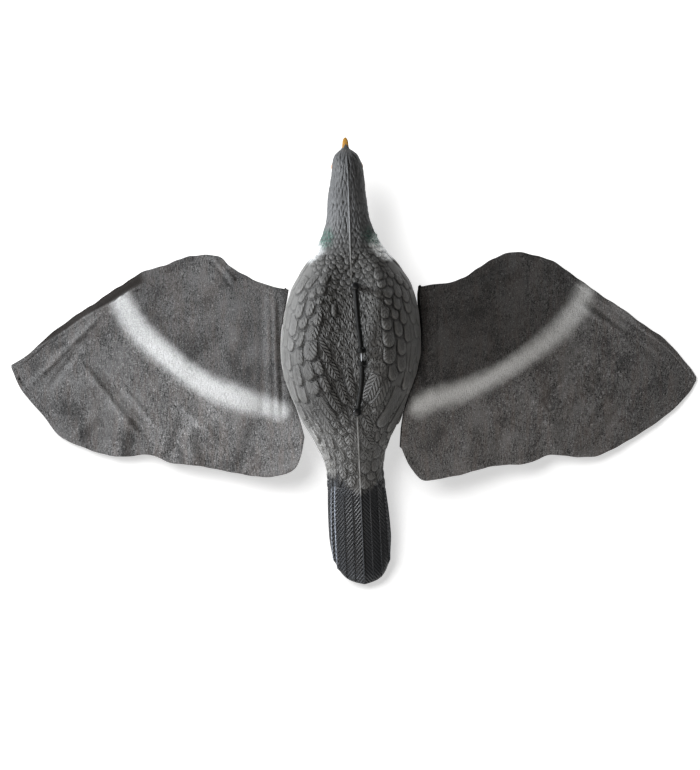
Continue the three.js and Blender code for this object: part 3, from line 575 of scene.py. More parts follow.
coats = node(tree, "Mix", {0: patches, 6: colour("#5a5a58"), 7: colour("#666665")}, data_type="RGBA")
for amount, code in [
    (paint.outputs["Alpha"], "#626466"), (white_coat, "#d3d6d7"), (green_coat, "#2a5a4e"),
    (paint_parts["Red"], "#1d1f22"), (detail_parts["Red"], "#b4832f"), (detail_parts["Green"], "#d9872b"),
    (detail_parts["Blue"], "#0c0c0d"),
]:
    coats = node(tree, "Mix", {0: amount, 6: coats, 7: colour(code)}, data_type="RGBA")
# Each feather's outline is a bump and also a dark line of painted shade, where the tone falls to half.
off_rim = node(tree, "Math", {0: rim_parts["X"]}, operation="ABSOLUTE")
rim_width = node(tree, "MapRange", {0: off_rim, 1: 0.15, 2: 0.6, 3: 1.0, 4: 0.0})
outline_bump_and_painted_shade = node(tree, "Math", {0: rim_width, 1: rim_parts["Y"]}, operation="MULTIPLY")
# Painted shade and light: grooves are darkened and raised spots lightened by how far they stand.
tone = node(tree, "MapRange", {0: detail.outputs["Alpha"], 1: 0.2, 2: 0.8, 3: 0.62, 4: 1.32})
speck_tone = node(tree, "MapRange", {0: speck, 1: 0.3, 2: 0.7, 3: 0.9, 4: 1.08})
for factor in (speck_tone, node(tree, "MapRange", {0: outline_bump_and_painted_shade, 3: 1.0, 4: 0.5}), rim_parts["Z"]):
    tone = node(tree, "Math", {0: tone, 1: factor}, operation="MULTIPLY")
toned = node(tree, "Mix", {0: 1.0, 6: coats, 7: tone}, data_type="RGBA", blend_type="MULTIPLY")
glossy = node(tree, "Math", {0: paint_parts["Red"], 1: detail_parts["Blue"]}, operation="MAXIMUM")
roughness = node(tree, "MapRange", {0: glossy, 3: 0.62, 4: 0.36})
# Barbs: parallel ridges that slant off each shaft, and the shaft itself. The real ones are about 1.5 mm apart
# and are drawn 2.5 to 2.8 mm apart so that they show.
turns = node(tree, "Math", {0: vane_parts["X"], 1: 2 * math.pi}, operation="MULTIPLY")
wave = node(tree, "Math", {0: turns}, operation="SINE")
barb = node(tree, "MapRange", {0: wave, 1: -1.0})
shaft = node(tree, "MapRange", {0: vane_parts["Z"], 1: 0.25, 2: 0.8, 3: 1.0, 4: 0.0})
combed = node(tree, "Math", {0: barb, 1: shaft}, operation="ADD")
for factor in (vane_parts["Y"], node(tree, "MapRange", {0: off_rim, 1: 0.3, 2: 0.9})):
    combed = node(tree, "Math", {0: combed, 1: factor}, operation="MULTIPLY")
normal = node(tree, "Bump", {"Strength": 1.0, "Distance": 0.8 * MM, "Height": combed})
normal = node(tree, "Bump", {"Strength": 1.0, "Distance": -0.35 * MM, "Height": outline_bump_and_painted_shade, "Normal": normal})
normal = node(tree, "Bump", {"Strength": 0.6, "Distance": 0.1 * MM, "Height": speck, "Normal": normal})
plug(tree, shader, {"Base Color": toned, "Roughness": roughness, "Normal": normal})
body.data.materials.append(sprayed_paint)
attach(body, "root")
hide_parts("body")

# Wings
# Each wing is one panel of heathered grey cloth, hemmed along its edges, glued and stitched over the rib at
# its root and left to fall to the table. A soft white bar is sprayed across it from the wrist to the root.
# Its outline is in shares of its reach and chord from its front corner, and its root in shares of a gap.
wing_reach, wing_chord, root_gap, cloth_overlap, least_gap = 262.0, 183.0, 2.8, 1.7, 0.3
cloth_thickness, cloth_ledge, cloth_droop, tip_height = 1.2, 10.0, 1.55, 0.2
cloth_billow, fold_depth, hem_height, table_clearance = 6.0, 1.9, 0.55, 0.15
cloth_cells, bar_points, bend_points = (168, 118), 90, 40
root_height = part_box("left_wing_cloth")[1][2] / MM - cloth_thickness
wing_shapes = {
    "left": dict(
        hand=-1,
        root=[(0.334, 1.536), (0.36, 0.929), (0.43, 1), (0.5, 0.786), (0.56, 0.679), (0.6, 0.679),
              (0.63, 1.286), (0.665, 3.071)],
        lead=[(0.065, 0.021), (0.137, 0.057), (0.208, 0.119), (0.244, 0.164), (0.298, 0.18), (0.352, 0.175),
              (0.424, 0.139), (0.532, 0.087), (0.64, -0.01), (0.748, -0.113), (0.856, -0.221),
              (0.927, -0.319), (1, -0.388)],
        trail=[(1, -0.404), (0.964, -0.515), (0.892, -0.633), (0.82, -0.762), (0.748, -0.808),
               (0.604, -0.862), (0.496, -0.849), (0.424, -0.891), (0.281, -0.916), (0.115, -0.963),
               (0.029, -0.952), (-0.022, -0.921), (-0.043, -0.86)],
        band=[(-220.9, 59.2), (-202.4, 29.4), (-174.5, 3.3), (-137.2, -23.5), (-100.1, -37.5),
              (-68.2, -46.9)],
        spray_and_light=(0.78, 15.5, 2.5),
    ),
    "right": dict(
        hand=1,
        root=[(0.339, 3.45), (0.362, 2.1), (0.39, 1.45), (0.432, 1.35), (0.504, 1.25), (0.544, 1),
              (0.574, 0.929), (0.603, 1), (0.642, 2.214), (0.694, 5.357)],
        lead=[(0.104, 0.021), (0.158, 0.051), (0.212, 0.098), (0.266, 0.149), (0.32, 0.175), (0.392, 0.17),
              (0.464, 0.139), (0.536, 0.077), (0.608, 0), (0.679, -0.067), (0.823, -0.211),
              (0.895, -0.289), (0.967, -0.407), (0.994, -0.464)],
        trail=[(0.994, -0.481), (0.967, -0.546), (0.895, -0.654), (0.787, -0.757), (0.644, -0.87),
               (0.572, -0.875), (0.464, -0.87), (0.392, -0.906), (0.284, -0.921), (0.104, -0.978),
               (0.011, -0.998), (-0.032, -0.937)],
        band=[(218.9, 65.5), (209.7, 47.3), (185.9, 21.5), (158.4, 1.4), (131, -15.1), (103.4, -27.9),
              (72.3, -37.1), (61.3, -42.5)],
        spray_and_light=(1.2, 15.0, 0.0),
    ),
}


def line_through(points, count, trials=40):
    """A smooth line through points (a centripetal Catmull-Rom spline), as count points evenly spaced by
    length. Also gives each one's place counted in the given points, from 0 to 1."""
    points = np.asarray(points, float)
    whole = np.concatenate([[2 * points[0] - points[1]], points, [2 * points[-1] - points[-2]]])
    gaps = np.sqrt(np.linalg.norm(np.diff(whole, axis=0), axis=1))
    spans = len(points) - 1
    place = np.linspace(0, spans, trials * spans + 1)
    i = np.minimum(place.astype(int), spans - 1)
    t = (place - i)[:, None]
    before, here, there = (gaps[i + k][:, None] for k in range(3))
    p0, p1, p2, p3 = (whole[i + k] for k in range(4))
    leave = ((p1 - p0) / before - (p2 - p0) / (before + here) + (p2 - p1) / here) * here
    enter = ((p2 - p1) / here - (p3 - p1) / (here + there) + (p3 - p2) / there) * here
    ease = 3 * t * t - 2 * t**3
    line = p1 * (1 - ease) + p2 * ease + leave * t * (1 - t) ** 2 - enter * t * t * (1 - t)
    length = np.concatenate([[0], np.cumsum(np.linalg.norm(np.diff(line, axis=0), axis=1))])
    at = np.linspace(0, length[-1], count)
    even = np.stack([np.interp(at, length, axis) for axis in line.T], -1)
    return even, np.interp(at, length, place) / spans


def root_line(shape):
    """The root's points in plan: on the body's widest line, moved out by their gaps."""
    stations, gaps = np.array(shape["root"]).T
    widest = placed(body_point(stations, 1.0, shape["hand"]))[:, :2] + centring[:2]
    widest[:, 0] += shape["hand"] * np.maximum(gaps * root_gap - cloth_overlap, least_gap)
    return widest


def from_line(x, y, line):
    """Distance from each point to the nearest point of a line, and how far along it that is, from 0 to 1."""
    gap = np.hypot(x[..., None] - line[:, 0], y[..., None] - line[:, 1])
    return gap.min(-1), gap.argmin(-1) / (len(line) - 1)


def fold(x, y, start, end, width, height, lean=0.0):
    """A fold in cloth: a rounded ridge along a straight stretch that fades at its ends. lean makes one side
    dip. Folds are drawn fold_depth times as high as their shading suggests, so that they show."""
    start, end = np.array(start, float), np.array(end, float)
    way = end - start
    length = np.hypot(*way)
    way /= length
    down = (x - start[0]) * way[0] + (y - start[1]) * way[1]
    off = ((x - start[0]) * way[1] - (y - start[1]) * way[0]) / width
    ends = smoothly(-0.25 * length, 0.2 * length, down) * smoothly(1.25 * length, 0.8 * length, down)
    return fold_depth * height * ends * hump(off, 1) * (1 + lean * off * 1.6)


# Folds, read from their shading: start and end in mm from the middle of the decoy, width, height and lean.
wing_folds = {
    "left": [
        ((-85, 62), (-84.5, -52), 3.6, -0.5, 0.3), ((-79.5, 55), (-77.5, -45), 2.6, 0.8, 0.2),
        ((-74.4, 57), (-71.2, -42), 1.9, 0.9, 0.0), ((-70, 52), (-66.5, -42), 1.7, -0.9, 0.0),
        ((-64.8, 50), (-61.2, -30), 1.6, 0.6, 0.0),
        ((-251, -6), (-203, -66), 3.4, 1.1, 0.8), ((-238, -8), (-190, -62), 3.4, -0.8, 0.3),
        ((-216, -24), (-190, -55), 2.6, 0.8, 0.5), ((-162, -40), (-130, -70), 4.0, 1.3, 0.5),
        ((-150, -36), (-122, -62), 4.0, -0.8, 0.0), ((-300, -16), (-243, 40), 3.4, 1.2, 0.6),
        ((-285, -22), (-262, 8), 3.0, -0.9, 0.3), ((-276, 14), (-226, 28), 3.5, -0.9, 0.4),
        ((-130, -74), (-53, -78.5), 2.2, 0.7, 0.9), ((-262, -70), (-240, -50), 5.0, 1.0, 0.0),
        ((-222, -93), (-214, -52), 6.5, 1.5, 0.2), ((-176, -96), (-160, -60), 6.0, -1.4, 0.0),
        ((-149, -104), (-158, -66), 7.5, 1.9, 0.2), ((-106, -100), (-92, -62), 7.0, -1.2, 0.0),
        ((-180, 45), (-150, 62), 7.0, 0.6, 0.3), ((-120, 30), (-150, -5), 9.0, -0.7, 0.0),
        ((-100, 50), (-112, 10), 8.0, 0.5, 0.0), ((-190, -38), (-214, -18), 4.0, 0.6, 0.0),
    ],
    "right": [
        ((74, 68), (75, -20), 2.4, 0.8, 0.2), ((79.5, 66), (80.5, -22), 2.0, -0.7, 0.0),
        ((66, 62), (69, -30), 2.0, -0.5, 0.0),
        ((78, 66), (108, 80), 4.0, -0.9, 0.3), ((98, 66), (150, 84), 4.2, 1.1, 0.4),
        ((86, 52), (140, 68), 5.0, -0.8, 0.0), ((226, 54), (286, 4), 3.8, -0.6, 0.5),
        ((218, 50), (262, 22), 3.2, 0.8, 0.0), ((240, 62), (292, 16), 3.0, 0.7, 0.0),
        ((206, 12), (164, -34), 3.4, 0.9, 0.3), ((216, 4), (172, -46), 3.4, -0.8, 0.0),
        ((226, -6), (174, -66), 3.6, 0.9, 0.2), ((238, -10), (190, -68), 3.8, -0.9, 0.0),
        ((250, -18), (206, -74), 3.8, 0.9, 0.3), ((266, -22), (232, -72), 4.2, -0.8, 0.0),
        ((156, -34), (130, -64), 3.6, 0.9, 0.2), ((168, -36), (136, -76), 4.0, -0.8, 0.0),
        ((190, -84), (186, -52), 6.0, 1.2, 0.0), ((136, -98), (140, -66), 6.5, -1.2, 0.0),
        ((104, -100), (112, -66), 6.5, 1.1, 0.0), ((276, -44), (250, -66), 5.0, 0.8, 0.0),
    ],
}
# Spots of painted light and shade on the left wing's folds: x and y in mm, size, and change of tone.
painted_fold_light_and_shade = [
    (-225, -35, 8, 0.3), (-190, -60, 9, 0.3), (-143, -56, 11, 0.35), (-177, -79, 9, 0.2),
    (-234, -83, 9, 0.25), (-268, -48, 10, -0.25), (-226, -72, 8, -0.25), (-97, -63, 12, -0.2),
    (-96, 30, 9, -0.15), (-150, 40, 14, 0.15), (-246, 32, 3.5, -0.35), (-252, 16, 3, -0.3),
    (-236, 24, 4, -0.3), (-279, -7, 3, -0.35), (-289, -12, 4.5, -0.25),
]
# At the wrist a corner of the hem is folded over on itself: a ridge and the dip beside it, with their widths.
wrist_fold = [
    ([(-131, 96), (-124, 89), (-117, 82), (-113, 77)], 2.6, 1.8),
    ([(-133, 93.5), (-126, 85.5), (-119.5, 77), (-114, 71)], -2.0, 1.6),
]
turned_crease = [(-190, 75), (-205.8, 68.5), (-231.8, 52.6), (-251.9, 42.0), (-272.2, 28.0), (-302.4, 9.5)]
holes_painted_dark = [(-203.7, 66.3, 1.7), (-314.9, -16.7, 1.8), (-313.2, -19.6, 1.3)]


def cloth_form(name, shape):
    """The cloth's upper side as a grid from root to tip and from leading to trailing edge, and its masks. The
    plan is filled in between the four edges. The height falls from the rib to the tip by a power of the
    distance, plus folds, slow waves that grow towards the free edge, and the hem's double thickness."""
    root_edge = root_line(shape)
    spread = (shape["hand"] * wing_reach, wing_chord)
    lead, trail = (root_edge[0] + np.array(shape[edge]) * spread for edge in ("lead", "trail"))
    lead, lead_place = line_through(np.concatenate([root_edge[:1], lead]), cloth_cells[0])
    trail, trail_place = line_through(np.concatenate([trail, root_edge[-1:]]), cloth_cells[0])
    trail, trail_place = trail[::-1], 1 - trail_place[::-1]
    root, _ = line_through(root_edge, cloth_cells[1])
    s, t = np.linspace(0, 1, cloth_cells[0])[:, None], np.linspace(0, 1, cloth_cells[1])
    s3, t3 = s[..., None], t[None, :, None]
    plan = lead[:, None] * (1 - t3) + trail[:, None] * t3
    plan += (root - lead[0] * (1 - t3) - trail[0] * t3) * (1 - s3)
    share = lead_place[:, None] * (1 - t) + trail_place[:, None] * t
    chord = np.linalg.norm(trail - lead, axis=1)[:, None]
    to_lead, to_trail = t * chord, (1 - t) * chord
    to_root = s * np.linalg.norm(np.diff(plan, axis=0), axis=-1).sum(0)
    # The free edge wanders a little, as cloth that was cut by hand and has begun to fray.
    run = trail[:, :1]
    frayed = np.exp(-to_trail / 9) * (0.5 * np.sin(run / 9) + 0.2 * np.sin(run / 2.9 + 1))
    frayed += np.exp(-to_lead / 7) * (0.45 * np.sin(run / 6.3) + 0.25 * np.sin(run / 2.7 + 2))
    plan[..., 1] += frayed * smoothly(0, 12, to_root)
    x, y = plan[..., 0], plan[..., 1]
    ledge = cloth_ledge / wing_reach
    fallen = np.clip(share - ledge, 0, None) / (1 - ledge)
    z = tip_height + (root_height - tip_height) * (1 - fallen) ** cloth_droop
    z = z + cloth_billow * smoothly(0, 80, to_root) * smoothly(0.0, 0.35, 1 - s) * 4 * t * (1 - t)
    for start, end, width, height, lean in wing_folds[name]:
        z = z + fold(x, y, start, end, width, height, lean) * (0.35 + 0.65 * smoothly(0, 10, to_root))
    slow = 0.8 * np.sin(x / 21 + y / 34) + 0.6 * np.sin(x / 13 - y / 19 + 2) + 0.35 * np.sin(x / 7.3 + y / 11)
    z = z + 0.35 * slow * (1 + t) * smoothly(2, 30, to_root) * smoothly(0.02, 0.12, 1 - s)
    hem = np.maximum(smoothly(8.0, 6.6, to_trail), smoothly(7.6, 6.4, to_lead))
    z = z + hem_height * np.maximum(hem, smoothly(6.6, 5.6, to_root))
    z = z - 0.25 * hump(np.minimum(to_trail, to_lead) - 7.4, 0.9)
    # It rests on the table, and meets it in a soft bend: the log of 1 + e to the power of the height.
    floor = tip_height + cloth_thickness + table_clearance
    z = floor + np.logaddexp(0, (z + cloth_thickness - floor) / 1.2) * 1.2

    # The sprayed bar, its edge a little ragged, and paler towards the root.
    off, place = from_line(x, y, line_through(shape["band"], bar_points)[0])
    width = 1 + 0.1 * np.sin(place * 9)
    if name == "left":
        width = (width + 0.12 * smoothly(0.3, 0.6, place)) * (1 - 0.2 * smoothly(0.72, 0.92, place))
    # The bar is laid on more strongly on the shaded right wing than on the lit left one: painted light.
    most, edge, core = shape["spray_and_light"]
    band = most * smoothly(edge, core, off / width + 0.7 * np.sin(x / 3.1) * np.sin(y / 2.7))
    # How light the cloth is: less in front of the bar. Painted shade darkens the left wing towards its tip,
    # painted light brightens the right wing behind the bar near the body, and spots of painted light and
    # shade lie on the left wing's folds.
    bar = np.array(sorted((abs(bar_x), bar_y) for bar_x, bar_y in shape["band"]))
    behind = smoothly(12, -16, y - np.interp(np.abs(x), bar[:, 0], bar[:, 1]))
    tone = 0.62 + 0.38 * behind
    rolled, dark = np.zeros_like(z), np.zeros_like(z)
    if name == "right":
        band *= 0.5 + 0.5 * smoothly(0, 9, to_root)
        # Painted light: the right wing is lighter behind the bar, towards the body.
        tone *= 1.06 + 0.24 * behind * smoothly(290, 220, x)
    else:
        band *= (0.7 + 0.3 * smoothly(4, 28, to_root)) * (1 - 0.22 * smoothly(0.8, 0.95, place))
        band *= (1 - 0.22 * smoothly(160, 220, -x)) * (1 - 0.12 * smoothly(150, 90, -x))
        # Painted shade: the left wing darkens towards its tip.
        tone *= 0.94 + 0.05 * behind - 0.4 * smoothly(110, 280, -x)
        # Painted light and shade where folds catch or miss the light.
        for spot_x, spot_y, size, change in painted_fold_light_and_shade:
            tone *= 1 + change * hump(np.hypot(x - spot_x, y - spot_y), size)
        # The strip along the outer leading edge is turned under, and rolls down from a crease.
        crease, _ = line_through(turned_crease, bar_points)
        off, place = from_line(x, y, crease)
        creased = smoothly(0.0, 0.08, place) * smoothly(1.0, 0.9, place)
        in_front = (to_lead < 14) & (y > np.interp(x, crease[::-1, 0], crease[::-1, 1]))
        rolled = creased * smoothly(0.2, 1.8, off) * in_front
        band *= 1 - smoothly(0.0, 1.5, rolled * 4)
        z = np.maximum(z - 2.6 * rolled, floor) + 0.9 * hump(off - 0.6, 1.5) * creased
        for bend, height, width in wrist_fold:
            z += height * hump(from_line(x, y, line_through(bend, bend_points)[0])[0], width)
        # Small holes in its edge are drawn as shallow dents, painted near black as their shade.
        for hole_x, hole_y, size in holes_painted_dark:
            off = np.hypot((x - hole_x) * 1.3, y - hole_y)
            dark = np.maximum(dark, smoothly(1.3 * size, 0.6 * size, off))
        z -= dark
    return np.stack([x, y, z], -1), np.stack([band, tone, rolled, dark], -1)


def cloth_piece(name, upper, masks):
    """A closed sheet: the upper side, the same side one thickness lower, and a strip round the edge."""
    lower = upper - (0, 0, cloth_thickness)
    rows, columns = upper.shape[:2]
    at = np.arange(rows * columns).reshape(rows, columns)
    top = np.stack([at[:-1, :-1], at[1:, :-1], at[1:, 1:], at[:-1, 1:]], -1).reshape(-1, 4)
    hem = np.concatenate([at[:-1, 0], at[-1, :-1], at[:0:-1, -1], at[0, :0:-1]])
    step, under = np.roll(hem, -1), rows * columns
    edge = np.stack([step, hem, hem + under, step + under], -1)
    quads = np.concatenate([top, (top + under)[:, ::-1], edge])
    if upper[0, 0, 0] > 0:  # the right wing's grid runs the other way round
        quads = quads[:, ::-1]
    made = make_piece(name, np.stack([upper, lower]), quads)
    write_attribute(made, "dye_and_painted_light", "FLOAT_COLOR", np.concatenate([masks, masks]))
    return made


# Heathered plain weave in grey and brown-grey yarn: dull and hairy, with streaks along its warp and pale
# flecks where a light fibre comes up. The real threads, 0.5 mm apart, are drawn as grains 0.7 mm wide so that
# they show. Each grain is its size in mm across and down the cloth, its detail and its roughness.
wing_cloth, tree, shader = new_material("heathered_woven_cloth")
place = node(tree, "TexCoord").outputs["Object"]
dye_and_painted_light = node(tree, "Attribute", attribute_name="dye_and_painted_light")
dye_and_light_parts = node(tree, "SeparateColor", {0: dye_and_painted_light}).outputs
grains = {
    "warp": (0.7, 3.6, 2.0, 0.75), "weft": (1.3, 0.75, 2.0, 0.7), "streak": (5.0, 42, 4.0, 0.7),
    "fleck": (1.2, 1.9, 1.0, 0.5), "cloud": (24, 30, 4.0, 0.6),
}
grain = {}
for name, (across, down, fineness, rough) in grains.items():
    scale = [1 / (size * MM) for size in (across, down, 40)]
    sized = node(tree, "Mapping", {"Vector": place, "Scale": scale})
    settings = {"Vector": sized, "Scale": 1.0, "Detail": fineness, "Roughness": rough}
    grain[name] = node(tree, "TexNoise", settings)
thread = node(tree, "Math", {0: grain["warp"], 1: grain["weft"]}, operation="ADD")
light_yarn = node(tree, "MapRange", {0: thread, 1: 0.8, 2: 1.2})
yarn = node(tree, "Mix", {0: light_yarn, 6: colour("#151515"), 7: colour("#848484")}, data_type="RGBA")
for name, start, full, most, code in [
    ("streak", 0.47, 0.6, 0.35, "#736a65"), ("cloud", 0.5, 0.68, 0.6, "#767676"),
    ("cloud", 0.48, 0.33, 0.6, "#303030"), ("fleck", 0.63, 0.73, 0.55, "#b1b0b0"),
]:
    amount = node(tree, "MapRange", {0: grain[name], 1: start, 2: full, 4: most})
    yarn = node(tree, "Mix", {0: amount, 6: yarn, 7: colour(code)}, data_type="RGBA")
# The cloth's tone, with its painted light and shade, multiplies the yarn.
yarn = node(tree, "Mix", {0: 1.0, 6: yarn, 7: dye_and_light_parts["Green"]}, data_type="RGBA", blend_type="MULTIPLY")
on_threads = node(tree, "MapRange", {0: thread, 1: 0.75, 2: 1.2, 3: 0.6})
sprayed = node(tree, "Math", {0: dye_and_light_parts["Red"], 1: on_threads}, operation="MULTIPLY")
turned = node(tree, "Math", {0: dye_and_light_parts["Blue"], 1: 0.92}, operation="MULTIPLY")
# Then the sprayed bar, the turned strip, and the painted shade of the holes go over it.
for amount, code in [(sprayed, "#dfe1e1"), (turned, "#191512"), (dye_and_painted_light.outputs["Alpha"], "#070606")]:
    yarn = node(tree, "Mix", {0: amount, 6: yarn, 7: colour(code)}, data_type="RGBA")
woven = node(tree, "Bump", {"Strength": 1.0, "Distance": 0.7 * MM, "Height": thread})
plug(tree, shader, {
    "Base Color": yarn, "Normal": woven, "Roughness": 0.92, "Specular IOR Level": 0.25,
    "Sheen Weight": 0.12, "Sheen Roughness": 0.5,
})

for name, flat, area in (("left", (0.29, 0.215), 0.0418), ("right", (0.29, 0.22), 0.0408)):
    upper, masks = cloth_form(name, wing_shapes[name])
    wing = cloth_piece(f"{name}_cloth_wing", upper, masks)
    wing.data.materials.append(wing_cloth)
    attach(wing, "root")
    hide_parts(f"{name}_wing_cloth")

# Ribs
# Each wing's root is held by a curved strip of black nylon, injection-moulded, that plugs into the flank with
# two pegs. Only its rounded ends and a thin dark line along the body show. The nylon is near black, with a
# faint haze in its soft gloss.
black_plastic, tree, shader = new_material("moulded_black_nylon")
place = node(tree, "TexCoord").outputs["Object"]
haze = node(tree, "TexNoise", {"Vector": place, "Scale": 1 / (2.5 * MM), "Detail": 4.0, "Roughness": 0.6})
hazy = node(tree, "MapRange", {0: haze, 1: 0.35, 2: 0.7})
black = node(tree, "Mix", {0: hazy, 6: colour("#08090a"), 7: colour("#101113")}, data_type="RGBA")
roughness = node(tree, "MapRange", {0: haze, 1: 0.3, 2: 0.7, 3: 0.3, 4: 0.36})
skin = node(tree, "Bump", {"Strength": 0.3, "Distance": 0.05 * MM, "Height": haze})
plug(tree, shader, {"Base Color": black, "Roughness": roughness, "Specular IOR Level": 0.3, "Normal": skin})
for name in ("left_wing_rib", "right_wing_rib"):
    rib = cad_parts[name]
    rib.data.materials.clear()
    rib.data.materials.append(black_plastic)

# Bail
# A steel wire arches over the back between two black posts that plug into it. Black sleeves cover the wire
# but for a bright stretch between two stops, where the decoy's pole clips on.
wire_radius, sleeve_radius, stop_radius = 1.15, 2.4, 4.3
stop_length, bare_length, bail_gap = 4.6, 7.4, 0.3
end_margin, wire_end, wire_steps = 0.3, 0.2, 800
stops_spot, bows = (6.6, 0.4915), (-0.3, 1.9)
low, high = np.array(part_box("bail_wire")) / MM
end_height, wire_height = low[2] + wire_radius, high[2] - wire_radius
stops_plan, *post_plans = (under_body(*spot) + centring for spot in [stops_spot, *post_spots])
ends = [plan + (0, 0, end_height) for plan in post_plans]
middle = stops_plan + (0, 0, wire_height)
rise = (wire_height - end_height) / 4
halfway = [(end + middle) / 2 + (bow, 0, rise) for end, bow in zip(ends, bows)]
wire_line, _ = line_through([ends[0], halfway[0], middle, halfway[1], ends[1]], wire_steps + 1)
wire_length = np.linalg.norm(np.diff(wire_line, axis=0), axis=1).sum()
stops_at = wire_length * np.linalg.norm(wire_line - middle, axis=1).argmin() / wire_steps


def swept(name, line, lengths, radii, sides=28, up=(0.0, 0.0, 1.0)):
    """A round bar along a line whose radius changes: each length from the line's start has its own radius."""
    total = np.linalg.norm(np.diff(line, axis=0), axis=1).sum()
    count = np.arange(len(line))
    at = np.asarray(lengths, float) / total * count[-1]
    slope = np.gradient(line, axis=0)
    centre, way = (np.stack([np.interp(at, count, axis) for axis in given.T], -1) for given in (line, slope))
    way /= np.linalg.norm(way, axis=1, keepdims=True)
    right = np.cross(way, up)
    right /= np.linalg.norm(right, axis=1, keepdims=True)
    over = np.cross(right, way)
    angle = np.linspace(0, 2 * math.pi, sides, endpoint=False)[None, :, None]
    radii = np.asarray(radii, float)[:, None, None]
    rings = centre[:, None] + radii * (np.cos(angle) * over[:, None] + np.sin(angle) * right[:, None])
    return rings_to_piece(name, rings, centre[0], centre[-1])


def rounded_bar(start, end, radius, bevel, steps):
    """Lengths and radii of a bar whose ends are rounded off by a bevel."""
    angle = np.linspace(0, math.pi / 2, 5)
    nose = bevel * (1 - np.cos(angle)), radius - bevel + bevel * np.sin(angle)
    straight = np.linspace(start + bevel, end - bevel, steps)[1:-1]
    lengths = np.concatenate([start + nose[0], straight, end - nose[0][::-1]])
    radii = np.concatenate([nose[1], np.full(steps - 2, radius), nose[1][::-1]])
    return lengths, radii


half_bare = bare_length / 2
front_stop = (stops_at - half_bare - stop_length, stops_at - half_bare)
rear_stop = (stops_at + half_bare, stops_at + half_bare + stop_length)
sleeves = {
    "front": (end_margin, front_stop[0] - bail_gap),
    "rear": (rear_stop[1] + bail_gap, wire_length - end_margin),
}
# Drawn steel wire: bright, with fine scratches along it.
steel, tree, shader = new_material("drawn_steel_wire")
place = node(tree, "TexCoord").outputs["Object"]
drawn_out = node(tree, "Mapping", {"Vector": place, "Scale": [1 / (size * MM) for size in (0.25, 4.0, 0.25)]})
drawn = node(tree, "TexNoise", {"Vector": drawn_out, "Scale": 1.0, "Detail": 3.0})
scratched = node(tree, "MapRange", {0: drawn, 1: 0.3, 2: 0.7})
bright = node(tree, "Mix", {0: scratched, 6: colour("#8f9194"), 7: colour("#9a9c9f")}, data_type="RGBA")
roughness = node(tree, "MapRange", {0: drawn, 1: 0.3, 2: 0.7, 3: 0.38, 4: 0.46})
plug(tree, shader, {"Base Color": bright, "Roughness": roughness, "Metallic": 1.0})
# Soft black tubing: dull, so that it shows as an even dark line.
tubing, tree, shader = new_material("extruded_soft_pvc_tube")
plug(tree, shader, {"Base Color": colour("#040505"), "Roughness": 0.5, "Specular IOR Level": 0.2})
wire_bar = rounded_bar(wire_end, wire_length - wire_end, wire_radius, 0.3, 80)
bail_pieces = [("bare_wire", "bail_wire", steel, wire_bar)]
for end, (start, stop) in sleeves.items():
    sleeve = rounded_bar(start, stop, sleeve_radius, 0.35, 36)
    bail_pieces.append((f"{end}_sleeve", f"bail_{end}_sleeve", tubing, sleeve))
for end, (start, stop) in {"front": front_stop, "rear": rear_stop}.items():
    collar = rounded_bar(start, stop, stop_radius, 1.0, 8)
    bail_pieces.append((f"{end}_stop", f"bail_{end}_stop", tubing, collar))
for name, cad_node, material, (lengths, radii) in bail_pieces:
    piece = swept(name, wire_line, lengths, radii)
    piece.data.materials.append(material)
    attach(piece, "root")
    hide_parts(cad_node)
# A post widens into a rounded head. Lengths are from its foot, and those of its head from its top.
post_radii = [2.3, 3.3, 3.3, 3.3, 3.4, 3.8, 4.1, 4.1, 3.9, 3.2, 2.1, 1.2]
below_top = np.array([8.4, 7.6, 6.8, 6.3, 2.2, 1.2, 0.5, 0.1, 0])
for end, plan in zip(("front", "rear"), post_plans):
    low, high = np.array(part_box(f"bail_{end}_post")) / MM
    upright = np.linspace((*plan[:2], low[2]), (*plan[:2], high[2]), 60)
    lengths = [0, 0.4, 6, *(high[2] - low[2] - below_top)]
    post = swept(f"{end}_post", upright, lengths, post_radii, sides=36, up=(1.0, 0.0, 0.0))
    post.data.materials.append(black_plastic)
    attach(post, "root")
    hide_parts(f"bail_{end}_post")

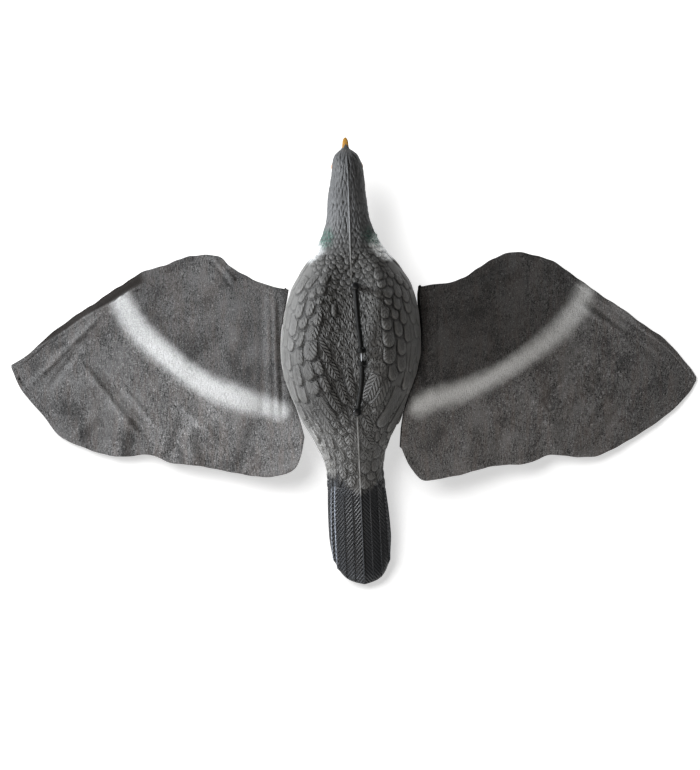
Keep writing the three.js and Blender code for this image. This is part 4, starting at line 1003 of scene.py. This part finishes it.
# Table and light
# A plain white table under a wide lamp high on the upper left, which draws the short soft shadows beside the
# wings and the tail. The bird has lamps of its own: a key lamp low on its left that leaves its right side
# dark, one for its edges on the lower left, and a weak fill from above.
half_table = 9e3
corners = [(x * half_table, y * half_table, 0) for x, y in ((-1, -1), (1, -1), (1, 1), (-1, 1))]
table = make_piece("table", corners, [[0, 1, 2, 3]])
# White paper: matt, and made to glow a little so that it comes out as white as in the photograph.
white_table, tree, shader = new_material("white_paper")
plug(tree, shader, {
    "Base Color": colour("#dcdcdc"), "Roughness": 0.9, "Specular IOR Level": 0.0,
    "Emission Color": (1.0, 1.0, 1.0, 1.0), "Emission Strength": 0.56,
})
table.data.materials.append(white_table)

lamp_target = np.array([0.0, 0.0, 0.03])


def lamp(name, size, power, place, on_table, tint="#ffffff"):
    """A square soft lamp at a place in metres, turned to face the back. It lights the table or all but it."""
    data = bpy.data.lights.new(name, "AREA")
    data.shape, data.size, data.energy = "SQUARE", size, power
    data.color = colour(tint)[:3]
    made = bpy.data.objects.new(name, data)
    made.location = place
    way = lamp_target - place
    tilt = math.acos(-way[2] / np.linalg.norm(way))
    made.rotation_euler = (tilt, 0.0, math.atan2(way[1], way[0]) - math.pi / 2)
    scene.collection.objects.link(made)
    linked = bpy.data.collections.new(f"{name}_linking")
    linked.objects.link(table)
    linked.collection_objects[0].light_linking.link_state = "INCLUDE" if on_table else "EXCLUDE"
    made.light_linking.receiver_collection = linked


lamp("key", 0.32, 18.5, (-0.97, 0.35, 0.41), False, "#fafcff")
lamp("edge_lamp", 0.3, 4.0, (-0.98, -0.55, 0.40), False, "#eef4ff")
lamp("fill", 0.8, 7.5, (-0.35, -0.5, 0.95), False, "#fffaf6")
lamp("table_lamp", 1.5, 72.0, (-1.0, 0.9, 2.0), True)
world = bpy.data.worlds.new("studio")
world.use_nodes = True
plug(world.node_tree, world.node_tree.nodes["Background"], {"Color": colour("#fffaf4"), "Strength": 0.08})
scene.world = world
scene.view_settings.view_transform = "Standard"
